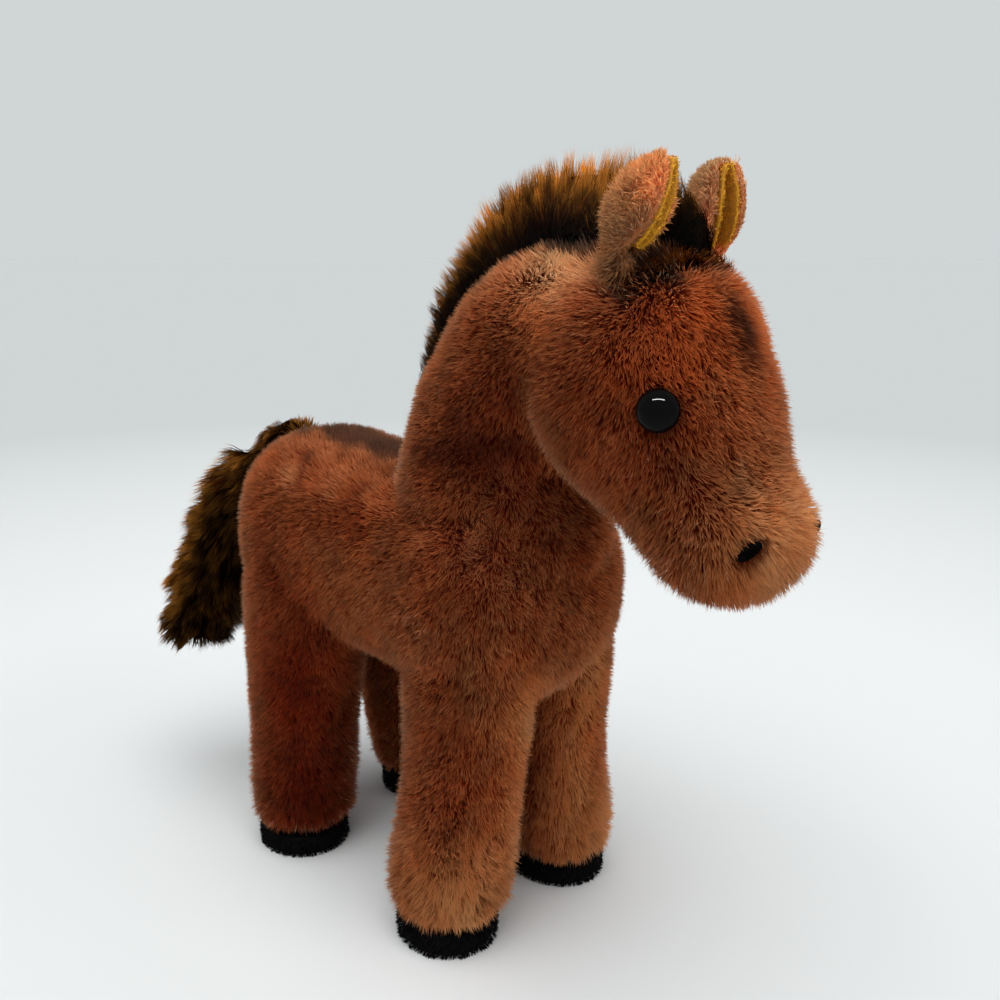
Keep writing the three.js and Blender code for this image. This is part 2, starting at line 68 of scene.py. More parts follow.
# Sizes are in metres and angles in degrees. A pair is a range to draw from, or one over which something
# rises or falls, and two shares that add up to 1 are the least and the rest. KEEPING_PULLS draws in and out
# by turns, so that smoothing keeps the volume.
# Skin
SKIN_VOXEL = 0.0018
SKIN_DEPTH = 0.0034
SKIN_BRIGHTER = 1.25
SEAM_CLOSING = 0.0005
POLL_CLOSING = 0.0050
POLL_FROM, POLL_TO = 0.160, 0.182
SKIN_SMOOTHING = 10
KEEPING_PULLS = (0.5, -0.52)
POLL_ROUNDS = 70
EAR_ROOT_FILL = 0.0042

# Body pile
PILE_LENGTH = 0.0048
PILE_LENGTH_SHARES = (0.82, 1.12)
PILE_LEAN = 27
PILE_LEAN_SPREAD = 12
PILE_CURL = 0.10
CURL_LENGTHENING = 0.2
POLL_LIFT = 1.2
UNDERCOAT_SHARE = 0.5
UNDERCOAT_LEAN = 72
PILE_WIDTHS = (0.00022, 0.00038)
PILE_TURNS = 0.8
PILE_PER_SQUARE_MM = 5.0
TUFTS_PER_PIECE = 90000
SHOULDER_SHARE = 0.58
SHOULDER_LIFT = 0.3
TUFT_ROUNDING = 0.35
TIP_TURN = 0.4
NAP = (0, -0.35, -1.0)
NAP_ON_TOP = (0, 1.8, 0)
NAP_WANDER = 0.3
NAP_SCATTER = 0.25
BACK_FACING, BACK_FRONT, TOP_FACING = (0.45, 0.8), (-0.020, 0.005), (0.75, 0.95)
FOOT_PLACES, FOOT_LENGTHENING, FOOT_CURL = (0.02, 0.05), 0.25, 0.22
UNDER_FOOT_FACING, UNDER_FOOT_HEIGHT = -0.8, 0.014
JAW_PLACES, JAW_LENGTHENING = (0.125, 0.150), 0.30
CROWN_LENGTHENING, CROWN_LEAN = 0.5, 12
BROW_LEAN = 20
POLL_LENGTHENING = 0.35
EAR_HOLE, EAR_RUFF, RUFF_NAP, RUFF_LENGTHENING = 0.0032, (0.004, 0.009), 3, 0.4
MANE_HALF_WIDTH, MANE_TOUCH = 0.0035, 0.0006

# Eyes and nostrils, and the pile round them. Shares are of the eye's radius or of the nostril's own sizes.
STEM_END_REACH, STEM_END_DEPTH, RIM_SHARE = 0.0033, 0.001, 0.99
STEM_CHAMFER, STEM_END_SHARE = 0.0004, 0.8
RIM_UNDER, RIM_OVER, RIM_CHAMFER = 0.0002, 0.0001, 0.0003
DOME_STEPS, EYE_SEGMENTS = 16, 64
EYE_BARE_SHARE, EYE_NAP_SHARE, EYE_SHADE_SHARE = 0.92, 1.7, 1.35
EYE_NAP, EYE_SHORTENING, EYE_SHADE = 0.6, 0.35, 0.65
NOSTRIL_SINK = 0.1
NOSTRIL_MARGIN, NOSTRIL_FARTHEST = 0.0002, 0.006
NOSTRIL_BARE_SHARE, NOSTRIL_NEAR_SHARES = 1.03, (1.0, 2.6)
NOSTRIL_SHORTENING, NOSTRIL_SHADE = 0.40, (0.80, 0.88, 0.84)
STITCHES, STITCH_RELIEF, THREAD_RELIEF = 13, 0.10, 0.0002

# Mane, forelock and tail
HAIR_WIDTHS = (0.00022, 0.00042)
HAIR_STEPS = 3
HAIR_ROUNDING = 0.4
HAIR_TURNS = 0.8
HAIR_RIPPLE = 0.0003
HAIR_SWAY = 0.0008
DARK_CLUMP = 0.5
CLUMP_SHADES, HAIR_SHADES = 0.22, 0.28
MANE_HAIRS = 31000
MANE_VOXEL, MANE_SEAT, MANE_FREE = 0.0009, 0.0008, 0.002
MANE_CORE_DEPTH, MANE_ROOT_DEPTH = 0.0030, 0.002
MANE_SLIDE, MANE_SLIDE_WAY = 0.0025, (0, 1.0, 0.6)
MANE_LENGTH_SHARES = (0.80, 1.28)
MANE_PER_CLUMP, MANE_CLUMPING, MANE_DARK = 50, 0.42, 0.2
MANE_FRONT, MANE_FRONT_SHADE = (-0.090, -0.072), 0.75
# Painted shade at the mane's base: hairs rising less than the first height darken to the least share.
MANE_RISE, MANE_LOW_SHARES = (0.009, 0.018), (0.06, 0.94)
MANE_BOW = 0.0005
FORELOCK_HAIRS_PER_SQUARE_MM = 5
FORELOCK_LENGTHS, FORELOCK_DEPTH = (0.0046, 0.0064), 0.003
FORELOCK_THINNING, FORELOCK_WAY = (0.35, 0.8), (0, -0.30, 0)
FORELOCK_SWAY, FORELOCK_SPREAD, FORELOCK_SHADES = 0.25, 0.12, 0.3
FORELOCK_SHARES = (0.27, 0.18, 0.13)
TAIL_HAIRS = 34000
TAIL_VOXEL, TAIL_END, TAIL_SLICES, SLICE_OVERLAP = 0.0012, 0.01, 24, 1.5
TAIL_CORE_SHARE = 0.42
TAIL_ROOT_DEPTHS = (0.001, 0.004)
TAIL_FLARE_PLACES = (0, 0.10, 0.20, 0.35, 0.60, 0.85, 1)
TAIL_FLARE = (0.000, 0.002, 0.007, 0.006, 0.0025, -0.0005, -0.002)
TAIL_FLARE_SHARES, TAIL_LENGTH_SHARES = (0.5, 1.15), (0.85, 1.12)
TAIL_SLIDE_PLACES, TAIL_SLIDE, TAIL_SLIDE_SPREAD = (0, 0.3, 1), (0.004, 0.004, 0.002), 0.002
TAIL_SPREAD, TAIL_SPREAD_PLACES = 0.015, (0.30, 0.75)
TAIL_DROP = 0.008
TAIL_SWAY, TAIL_DROOP = 0.0015, 0.001
TAIL_PER_CLUMP, TAIL_CLUMPING, TAIL_DARK = 40, 0.34, 0.40
# Painted light and shade on the tail: hairs facing up, back and to the right stay lit, the rest darken to a
# fifth.
TAIL_LIT_WAY, TAIL_LIT_RANGE, TAIL_SHADE_SHARES = np.array([-0.5, 0.7, 0.6]), (-0.05, 0.80), (0.20, 0.80)
TAIL_FACING, TAIL_SKIN_ALONG = 0.3, 0.6

# Light, stage and camera, and the bake map
WORLD_LIGHT = 0.34
LIGHT_THROUGH = 0.5
SHEEN_ROUGHNESS = 0.3
FLOOR_REACH = 40
TOY_MIDDLE = (0, 0, 0.11)
FILM_WIDTH, LENS = 36, 36
CAMERA_PLACE = (-0.199216, -0.231710, 0.200)
CAMERA_TILT, CAMERA_TURN = 76.16, -44.34
CELLS = 24
CELL_EDGE_SHARE = 0.06
UP = np.array([0, 0, 1.0])


def rgb(red, green, blue):
    """A colour given in 0 to 255, in linear values."""
    shares = np.array([red, green, blue]) / 255
    return np.where(shares <= 0.04045, shares / 12.92, ((shares + 0.055) / 1.055) ** 2.4)


# Colours of pile tips, and what a tip's colour is multiplied by at its root
CHESTNUT = rgb(230, 146, 90)
CHESTNUT_RAMP = ((0.05, (0.16, 0.035, 0.015)), (0.52, (0.43, 0.14, 0.055)), (0.97, (0.96, 0.93, 0.88)))
FORELOCK = rgb(70, 36, 18)
EAR_TAN = rgb(236, 166, 110)
EAR_RAMP = ((0.05, (0.34, 0.16, 0.08)), (0.50, (0.80, 0.55, 0.38)), (0.97, (1, 1, 1)))
BLACK = rgb(15, 13, 14)
BLACK_RAMP = ((0.05, (0.3, 0.3, 0.3)), (0.50, (0.6, 0.6, 0.6)), (0.97, (1, 1, 1)))
MANE_GOLD = rgb(228, 156, 64)
MANE_RAMP = ((0.40, (0.040, 0.020, 0.013)), (0.66, (0.20, 0.12, 0.07)), (0.92, (1, 0.95, 0.9)))
FELT = rgb(240, 178, 52)
FELT_RAMP = ((0.05, (0.8, 0.72, 0.6)), (0.50, (0.95, 0.92, 0.85)), (0.97, (1, 1, 1)))
FLOOR_NEAR = rgb(226, 229, 229)
FLOOR_FAR = rgb(195, 199, 199)
WALL = rgb(208, 213, 214)
SKY = (0.97, 0.98, 1.0)


# Numpy helpers
def unit(vectors):
    return vectors / np.maximum(np.linalg.norm(vectors, axis=-1, keepdims=True), 1e-12)


def reaches(vectors):
    return np.linalg.norm(vectors, axis=1)


def dot(a, b):
    return (a * b).sum(-1, keepdims=True)


def smoothstep(low, high, values):
    share = np.clip((values - low) / (high - low), 0, 1)
    return share * share * (3 - 2 * share)


def fall(low, high, values):
    """1 up to low, and 0 from high on."""
    return 1 - smoothstep(low, high, values)


def spot(points, centre, radius):
    """A soft spot: 1 at its centre, falling off to 0."""
    away = (points - np.array(centre)) / np.array(radius)
    return np.exp(-(away ** 2).sum(-1, keepdims=True))


class Waves:
    """Smooth noise of about -1 to 1 over space, with features of the given sizes."""

    def __init__(self, rng, low, high, channels=1, count=28):
        lengths = rng.uniform(low, high, (count, 1))
        self.waves = unit(rng.normal(size=(count, 3))) * 2 * math.pi / lengths
        self.phases = rng.uniform(0, 2 * math.pi, count)
        self.weights = rng.normal(size=(count, channels)) * math.sqrt(2 / count)

    def __call__(self, points):
        return np.sin(points @ self.waves.T + self.phases) @ self.weights


# Meshes as arrays
class Surface:
    """A triangle mesh in arrays, with smooth normals at its vertices."""

    def __init__(self, mesh):
        mesh.calc_loop_triangles()
        self.points = np.empty(len(mesh.vertices) * 3, np.float32)
        mesh.vertices.foreach_get("co", self.points)
        self.points = self.points.reshape(-1, 3).astype(float)
        self.triangles = np.empty(len(mesh.loop_triangles) * 3, np.int32)
        mesh.loop_triangles.foreach_get("vertices", self.triangles)
        self.triangles = self.triangles.reshape(-1, 3)
        self.update()

    def update(self):
        a, b, c = self.points[self.triangles].transpose(1, 0, 2)
        across = np.cross(b - a, c - a)
        self.areas = reaches(across) / 2
        self.normals = np.zeros_like(self.points)
        for corner in range(3):
            np.add.at(self.normals, self.triangles[:, corner], across)
        self.normals = unit(self.normals)

    def edges(self):
        pairs = np.concatenate([self.triangles[:, side] for side in ([0, 1], [1, 2], [2, 0])])
        pairs = np.unique(np.sort(pairs, 1), axis=0)
        return pairs, np.bincount(pairs.ravel(), minlength=len(self.points))[:, None]

    def neighbours(self, pairs, counts):
        """The mean of each point's neighbours."""
        total = np.zeros_like(self.points)
        np.add.at(total, pairs[:, 0], self.points[pairs[:, 1]])
        np.add.at(total, pairs[:, 1], self.points[pairs[:, 0]])
        return total / counts

    def relax(self, rounds, share=1, pulls=(0.5,)):
        """Draws each point towards its neighbours, by each pull in turn, where share is near 1."""
        pairs, counts = self.edges()
        for _ in range(rounds):
            for pull in pulls:
                self.points += pull * share * (self.neighbours(pairs, counts) - self.points)
        self.update()

    def inset(self, depth):
        self.points = self.points - self.normals * depth
        self.update()

    def part(self, chosen):
        """The chosen triangles alone, as a new surface that keeps its normals."""
        part = object.__new__(Surface)
        used, corners = np.unique(self.triangles[chosen], return_inverse=True)
        part.points = self.points[used]
        part.normals = self.normals[used]
        part.triangles = corners.reshape(-1, 3)
        part.areas = self.areas[chosen]
        return part

    def moved(self, points):
        """A copy with its vertices elsewhere and the same normals."""
        copy = self.part(np.ones(len(self.triangles), bool))
        copy.points = points
        return copy

    def centres(self):
        return self.points[self.triangles].mean(1)

    def scatter(self, rng, per_square_mm):
        """Random points, spread evenly over the surface, and their normals."""
        count = int(self.areas.sum() * 1e6 * per_square_mm)
        faces = rng.choice(len(self.areas), count, p=self.areas / self.areas.sum())
        weights = rng.dirichlet((1, 1, 1), count)[:, :, None]
        corners = self.triangles[faces]
        return (self.points[corners] * weights).sum(1), unit((self.normals[corners] * weights).sum(1))


def placed(name, data):
    """A new object in the scene."""
    piece = bpy.data.objects.new(name, data)
    bpy.context.scene.collection.objects.link(piece)
    return piece


def welded(name):
    """A copy of a CAD node's mesh with its split vertices joined."""
    cleaned = bmesh.new()
    cleaned.from_mesh(nodes[name].data)
    bmesh.ops.remove_doubles(cleaned, verts=cleaned.verts, dist=1e-6)
    cleaned.normal_update()
    return cleaned


def even(depth):
    return lambda points: np.full((len(points), 1), depth)


def remeshed(names, voxel, smoothing, swell=even(0), balls=()):
    """One smooth surface round several CAD nodes and balls. They are swollen before they are joined, and the
    whole is drawn in again, which closes what lies between them. swell takes points and gives depths."""
    whole = bmesh.new()
    for name in names:
        piece = welded(name)
        depths = swell(np.array([vertex.co for vertex in piece.verts]))
        for vertex, depth in zip(piece.verts, depths):
            vertex.co += vertex.normal * depth[0]
        mesh = bpy.data.meshes.new("piece")
        piece.to_mesh(mesh)
        piece.free()
        whole.from_mesh(mesh)
        bpy.data.meshes.remove(mesh)
    for centre, radius in balls:
        bmesh.ops.create_icosphere(whole, subdivisions=3, radius=radius, matrix=Matrix.Translation(centre))
    mesh = bpy.data.meshes.new("whole")
    whole.to_mesh(mesh)
    whole.free()
    shell = placed("shell", mesh)
    modifier = shell.modifiers.new("remesh", "REMESH")
    modifier.mode = "VOXEL"
    modifier.voxel_size = voxel
    evaluated = shell.evaluated_get(bpy.context.evaluated_depsgraph_get())
    surface = Surface(evaluated.to_mesh())
    evaluated.to_mesh_clear()
    bpy.data.objects.remove(shell)
    bpy.data.meshes.remove(mesh)
    surface = surface.part(largest_component(surface))
    surface.update()
    surface.relax(smoothing, pulls=KEEPING_PULLS)
    surface.inset(swell(surface.points))
    return surface


def plush_closing(points):
    """Seams are closed all over, and the hollow behind the ears is filled."""
    poll = smoothstep(POLL_FROM, POLL_TO, points[:, 2:])
    return SEAM_CLOSING + (POLL_CLOSING - SEAM_CLOSING) * poll


def largest_component(surface):
    """Which triangles belong to the outer shell, without the small closed hollows inside."""
    label = np.arange(len(surface.points))
    while True:
        lowest = label[surface.triangles].min(1)
        before = label.copy()
        for corner in range(3):
            np.minimum.at(label, surface.triangles[:, corner], lowest)
        label = label[label]
        if (label == before).all():
            break
    owner = label[surface.triangles[:, 0]]
    return owner == np.bincount(owner).argmax()


def tree_of(name):
    """A search tree of a CAD node's faces."""
    piece = welded(name)
    tree = BVHTree.FromBMesh(piece)
    piece.free()
    return tree


def distances(tree, points):
    return np.array([tree.find_nearest(Vector(point))[3] for point in points])


# Strands are gathered in batches of points, faces, colours and places on the bake map.
class Pile:
    """Collects the skin, tufts and hairs of one piece and makes its mesh."""

    def __init__(self):
        self.points, self.normals, self.faces = [], [], []
        self.tints, self.alongs, self.cells, self.spots = [], [], [], []
        self.count = 0

    def add(self, points, normals, faces, tints, alongs, group, spots):
        """points, normals: (n, k, 3). faces: (m, 3) into the k points. tints: (n, 3). alongs: (k,) or (n, k).
        spots: (k, 2) on the cell. group: what shares a cell, or None for the skin's own cell."""
        n, k = points.shape[:2]
        at = self.count + np.arange(n)[:, None, None] * k
        self.points.append(points.reshape(-1, 3))
        self.normals.append(normals.reshape(-1, 3))
        self.faces.append((faces[None] + at).reshape(-1, 3))
        self.tints.append(np.repeat(tints, k, 0))
        self.alongs.append(np.broadcast_to(alongs, (n, k)).ravel())
        self.cells.append(np.repeat(group, k))
        self.spots.append(np.tile(spots, (n, 1)))
        self.count += n * k

    def skin(self, surface, tint, along=0):
        """The backing cloth. All its faces share one cell, whose colour is the same all over. along: how far
        its colour is from a root's to a tip's."""
        corners = surface.points[surface.triangles]
        normals = surface.normals[surface.triangles]
        tints = np.repeat([tint], len(corners), 0)
        spots = np.array([[0, 0], [1, 0], [0.5, 1]])
        faces = np.array([[0, 1, 2]])
        self.add(corners, normals, faces, tints, np.full(3, along), np.zeros(len(corners), int), spots)

    def tufts(self, roots, normals, lean, turns, lengths, widths, tints, groups, fade=0):
        """Leaves of pile, each a root, two shoulders and a tip. Their shading follows the cloth below them.
        fade lifts a leaf's root towards its tip's colour."""
        flat = unit(np.cross(lean, normals))
        across = flat * np.cos(turns) + np.cross(flat, lean) * np.sin(turns)
        across = np.where(dot(np.cross(across, lean), normals) < 0, -across, across)
        outward = np.cross(across, lean)
        shoulder = roots + lean * lengths * SHOULDER_SHARE + outward * widths * SHOULDER_LIFT
        points = np.stack([
            roots,
            shoulder + across * widths / 2,
            shoulder - across * widths / 2,
            roots + lean * lengths], 1)
        shading = np.stack([
            normals,
            unit(normals + TUFT_ROUNDING * across),
            unit(normals - TUFT_ROUNDING * across),
            unit(normals + TIP_TURN * lean)], 1)
        faces = np.array([[0, 1, 2], [1, 3, 2]])
        alongs = 1 - (1 - fade) * (1 - np.array([[0, SHOULDER_SHARE, SHOULDER_SHARE, 1]]))
        spots = np.array([[0.5, 0], [1, SHOULDER_SHARE], [0, SHOULDER_SHARE], [0.5, 1]])
        self.add(points, shading, faces, tints, alongs, groups, spots)

    def coat(self, rng, coat, points, normals, lean, tints, lengths=None, fade=0):
        """Short pile, whose lengths are drawn here where none are given."""
        count = (len(points), 1)
        groups, tints = gathered(tints)
        turns = rng.normal(0, coat.turns, count)
        if lengths is None:
            lengths = rng.uniform(*coat.lengths, count)
        widths = rng.uniform(*coat.widths, count)
        self.tufts(points, normals, lean, turns, lengths, widths, tints, groups, fade)

    def hairs(self, rng, paths, normals, tints):
        """Long tapering ribbons of hair. paths: (n, rings + 1, 3), from root to tip."""
        n, rings = paths.shape[0], paths.shape[1] - 1
        groups, tints = gathered(tints)
        turns = rng.normal(0, HAIR_TURNS, (n, 1))
        widths = rng.uniform(*HAIR_WIDTHS, (n, 1))
        heading = unit(np.gradient(paths, axis=1))
        flat = unit(np.cross(heading, normals[:, None]))
        across = flat * np.cos(turns)[:, None] + np.cross(flat, heading) * np.sin(turns)[:, None]
        back = dot(np.cross(across, heading), normals[:, None]).mean(1, keepdims=True) < 0
        across = np.where(back, -across, across)
        shares = np.arange(rings) / rings
        half = widths[:, None] / 2 * np.sin(math.pi * (0.25 + 0.72 * shares) ** 0.8)[None, :, None]
        across = across[:, :rings]
        edges = np.stack([paths[:, :rings] + across * half, paths[:, :rings] - across * half], 2)
        bulge = HAIR_ROUNDING * across
        shading = np.stack([normals[:, None] + bulge, normals[:, None] - bulge], 2)
        points = np.concatenate([edges.reshape(n, rings * 2, 3), paths[:, rings:]], 1)
        shading = np.concatenate([unit(shading).reshape(n, rings * 2, 3), normals[:, None]], 1)
        faces = []
        for ring in range(rings - 1):
            here = ring * 2
            faces += [[here, here + 2, here + 1], [here + 1, here + 2, here + 3]]
        faces.append([rings * 2 - 2, rings * 2, rings * 2 - 1])
        alongs = np.append(np.repeat(shares, 2), 1)
        spots = np.append(np.stack([np.tile([0, 1], rings), np.repeat(shares, 2)], 1), [[0.5, 1]], 0)
        self.add(points, shading, np.array(faces), tints, alongs, groups, spots)

    def mesh(self, name):
        points = np.concatenate(self.points)
        faces = np.concatenate(self.faces)
        mesh = bpy.data.meshes.new(name)
        mesh.vertices.add(len(points))
        mesh.vertices.foreach_set("co", points.ravel().astype(np.float32))
        mesh.loops.add(faces.size)
        mesh.loops.foreach_set("vertex_index", faces.ravel().astype(np.int32))
        mesh.polygons.add(len(faces))
        mesh.polygons.foreach_set("loop_start", np.arange(0, faces.size, 3, dtype=np.int32))
        mesh.polygons.foreach_set("use_smooth", np.ones(len(faces), bool))
        mesh.update(calc_edges=True)
        tints = np.concatenate(self.tints)
        colour = mesh.attributes.new("tint", "FLOAT_COLOR", "POINT")
        opaque = np.hstack([tints, np.ones((len(tints), 1))])
        colour.data.foreach_set("color", opaque.ravel().astype(np.float32))
        along = mesh.attributes.new("along", "FLOAT", "POINT")
        along.data.foreach_set("value", np.concatenate(self.alongs).astype(np.float32))
        cells = np.concatenate(self.cells)
        spots = np.concatenate(self.spots) * (1 - 2 * CELL_EDGE_SHARE) + CELL_EDGE_SHARE
        uv = (np.stack([cells % CELLS, cells // CELLS], 1) + spots) / CELLS
        layer = mesh.uv_layers.new(name="OFBake")
        layer.uv.foreach_set("vector", uv[faces.ravel()].ravel().astype(np.float32))
        mesh.normals_split_custom_set_from_vertices(np.concatenate(self.normals).astype(np.float32))
        return mesh


def gathered(tints):
    """Sorts strands into groups of like colour, at most one for each cell of the bake map but the skin's.
    Gives each strand's group and its group's colour, so that the strands on one cell share it."""
    groups = np.zeros(len(tints), int)
    levels = int(math.log2(CELLS * CELLS - 1))
    for level in range(levels):
        for group in range(2 ** level):
            members = np.flatnonzero(groups == group)
            if len(members) < 2:
                continue
            channel = np.ptp(tints[members], axis=0).argmax()
            order = members[np.argsort(tints[members, channel], kind="stable")]
            groups[order[len(order) // 2:]] += 2 ** level
    totals = np.stack([np.bincount(groups, tints[:, channel], 2 ** levels) for channel in range(3)], 1)
    means = totals / np.maximum(np.bincount(groups, minlength=2 ** levels), 1)[:, None]
    return groups + 1, means[groups]


def shown(mesh, name, material, body, slot, *replaced):
    """An object for a mesh, with its finish, its body and the CAD nodes it stands for."""
    piece = placed(name, mesh)
    mesh.materials.append(material)
    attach(piece, body)
    if replaced:
        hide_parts(*replaced)
    return piece


# Materials
def new_material(name):
    material = bpy.data.materials.new(name)
    material.use_nodes = True
    shader = material.node_tree.nodes["Principled BSDF"]
    return material, material.node_tree, shader


def node(tree, kind, **settings):
    """A new shader node with its settings."""
    made = tree.nodes.new(f"ShaderNode{kind}")
    for name, value in settings.items():
        setattr(made, name, value)
    return made


def link(source, output, target, entry):
    source.id_data.links.new(source.outputs[output], target.inputs[entry])


def fill(target, values):
    """Sets a node's own sockets."""
    for name, value in values.items():
        target.inputs[name].default_value = value


def colour_ramp(tree, steps):
    """A ramp through pairs of a place and a colour."""
    ramp = node(tree, "ValToRGB")
    elements = ramp.color_ramp.elements
    while len(elements) < len(steps):
        elements.new(0.5)
    for element, (place, colour) in zip(elements, steps):
        element.position = place
        element.color = (*colour, 1)
    return ramp


def pile_material(name, steps, through=LIGHT_THROUGH, roughness=0.8, sheen=0.0, sheen_tint=(1, 1, 1),
                  specular=0.15):
    """Pile that goes from a dark root to its tip's own colour along each strand, and lets light through."""
    material, tree, shader = new_material(name)
    tint = node(tree, "Attribute", attribute_name="tint")
    along = node(tree, "Attribute", attribute_name="along")
    ramp = colour_ramp(tree, steps)
    mix = node(tree, "Mix", data_type="RGBA", blend_type="MULTIPLY")
    fill(mix, {"Factor": 1})
    link(along, "Fac", ramp, "Fac")
    link(tint, "Color", mix, "A")
    link(ramp, "Color", mix, "B")
    link(mix, "Result", shader, "Base Color")
    if through:
        lit = node(tree, "BsdfTranslucent")
        both = node(tree, "MixShader")
        fill(both, {"Fac": through})
        link(mix, "Result", lit, "Color")
        link(shader, "BSDF", both, 1)
        link(lit, "BSDF", both, 2)
        link(both, "Shader", tree.nodes["Material Output"], "Surface")
    fill(shader, {"Roughness": roughness, "Specular IOR Level": specular, "Sheen Weight": sheen,
                  "Sheen Roughness": SHEEN_ROUGHNESS, "Sheen Tint": (*sheen_tint, 1)})
    return material


def mottled_material(name, dark, light, scale, roughness, specular=0.5, bump=0.0):
    """A material whose colour and height wander between two values."""
    material, tree, shader = new_material(name)
    place = node(tree, "TexCoord")
    noise = node(tree, "TexNoise")
    fill(noise, {"Scale": scale, "Detail": 6})
    ramp = colour_ramp(tree, ((0.35, dark), (0.65, light)))
    link(place, "Object", noise, "Vector")
    link(noise, "Fac", ramp, "Fac")
    link(ramp, "Color", shader, "Base Color")
    fill(shader, {"Roughness": roughness, "Specular IOR Level": specular})
    if bump:
        height = node(tree, "Bump")
        fill(height, {"Strength": bump, "Distance": THREAD_RELIEF})
        link(noise, "Fac", height, "Height")
        link(height, "Normal", shader, "Normal")
    return material


chestnut_pile = pile_material("chestnut_pile", CHESTNUT_RAMP, sheen=1.0, sheen_tint=(1, 0.64, 0.42),
                              specular=0.06)
ear_pile = pile_material("ear_pile", EAR_RAMP, sheen=0.6, sheen_tint=(1, 0.70, 0.48))
black_pile = pile_material("black_pile", BLACK_RAMP, 0, specular=0.04)
long_pile = pile_material("long_pile", MANE_RAMP, roughness=0.7, specular=0.04)
felt_pile = pile_material("felt_pile", FELT_RAMP, 0)
eye_gloss = mottled_material("eye_gloss", rgb(5, 5, 6), rgb(9, 8, 9), 300, 0.05, 0.06)
satin_thread = mottled_material("satin_thread", rgb(5, 3, 3), rgb(10, 8, 7), 900, 0.9, 0.01, 0.5)
washer_plastic = mottled_material("washer_plastic", rgb(205, 203, 196), rgb(226, 224, 218), 200, 0.5)


# Where the eyes, nostrils and ear roots are, from the CAD solids
class Stud:
    """An eye's seat and axis, measured on its CAD solid."""

    def __init__(self, name):
        points = Surface(nodes[name].data).points
        far = points[reaches(points - points.mean(0)).argmax()]
        stem_end = points[reaches(points - far) < STEM_END_REACH]
        self.end = np.unique(stem_end.round(7), axis=0).mean(0)
        apex = points[reaches(points - self.end).argmax()]
        self.axis = unit(apex - self.end)
        self.height = np.linalg.norm(apex - self.end)
        level = (points - self.end) @ self.axis
        reach = reaches(points - self.end - level[:, None] * self.axis)
        self.radius = reach.max()
        self.stem_radius = reach[level < STEM_END_DEPTH].max()
        self.seat = self.end + self.axis * level[reach > self.radius * RIM_SHARE].mean()


class Oval:
    """A nostril's centre, axes and half sizes, measured on its CAD solid."""

    def __init__(self, name):
        points = np.unique(Surface(nodes[name].data).points.round(7), axis=0)
        self.centre = (points.min(0) + points.max(0)) / 2
        spread = points - points.mean(0)
        self.axes = np.linalg.eigh(spread.T @ spread)[1].T[::-1]
        self.halves = np.abs(spread @ self.axes.T).max(0)
        if self.axes[2] @ (self.centre - HEAD_MIDDLE) < 0:
            self.axes[2] *= -1
        self.axes[1] = np.cross(self.axes[2], self.axes[0])


# Places on the head and body that stand out, each a centre and a reach
POLL_HOLLOW = (0.021, -0.063, 0.189), (0.012, 0.012, 0.014)
POLL_BAND = (0, -0.062, 0.200), (1, 0.016, 0.010)
POLL_SIDE = (-0.014, -0.062, 0.200), (0.018, 0.018, 0.012)
BROW = (0, -0.100, 0.184), (0.030, 0.024, 0.024)
STREAK = (0.0005, -0.1075, 0.1865), (0.0055, 0.012, 0.0105)
LEAN_SPOTS = (
    ((-0.030, -0.040, 0.124), (0.016, 0.018, 0.020), 14),
    ((-0.017, -0.060, 0.196), (0.014, 0.016, 0.011), 26),
)

HEAD_MIDDLE = np.array(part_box("head")[0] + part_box("head")[1]) / 2
eyes = {side: Stud(f"eye_{side}") for side in SIDES}
nostrils = {side: Oval(f"nostril_{side}") for side in SIDES}
ear_roots = {side: np.array(joints[f"ear_{side}_bend"]["pos_m"]) for side in SIDES}
dock = np.array(joints["tail_swing"]["pos_m"])

# The plush skin, one smooth surface round the stuffed pieces
fillers = [f"{name}_{side}" for name in ("eye", "eye_washer", "nostril") for side in SIDES] + ["tail_dock"]
outer = remeshed(STUFFED + fillers, SKIN_VOXEL, SKIN_SMOOTHING, plush_closing,
                 [(root, EAR_ROOT_FILL) for root in ear_roots.values()])
for way in (-1, 1):
    outer.relax(POLL_ROUNDS, spot(outer.points * (way, 1, 1), *POLL_HOLLOW))
skin = outer.moved(outer.points - outer.normals * SKIN_DEPTH)
owners = np.argmin([distances(tree_of(name), outer.centres()) for name in STUFFED], 0)
mane_tree = tree_of("mane")

rng = np.random.default_rng(11)
sway = Waves(rng, 0.006, 0.016, 3)
drift = Waves(rng, 0.03, 0.09, 3)
blotch = Waves(rng, 0.008, 0.03, 2)
lock = Waves(rng, 0.0028, 0.0060, 3, 60)


def lean_directions(rng, points, normals, nap, lean, scatter, curl=0.0):
    """Pile directions, leaning from the normal along the nap, which wanders. curl: how far locks part."""
    nap = nap + NAP_WANDER * (sway(points) + drift(points)) + curl * lock(points)
    nap = nap + scatter * rng.normal(size=points.shape)
    nap = unit(nap - normals * dot(nap, normals))
    angle = np.radians(lean + rng.normal(0, PILE_LEAN_SPREAD, (len(points), 1)))
    return unit(normals * np.cos(angle) + nap * np.sin(angle))


def varied(rng, colour, points, spread):
    """A colour for each point, lighter or darker by chance."""
    return np.repeat([colour], len(points), 0) * np.exp(spread * rng.normal(size=(len(points), 1)))


def on_the_right(points):
    """Each point, or its mirror image if it is on the left."""
    return points * (0, 1, 1) - np.abs(points) * (1, 0, 0)
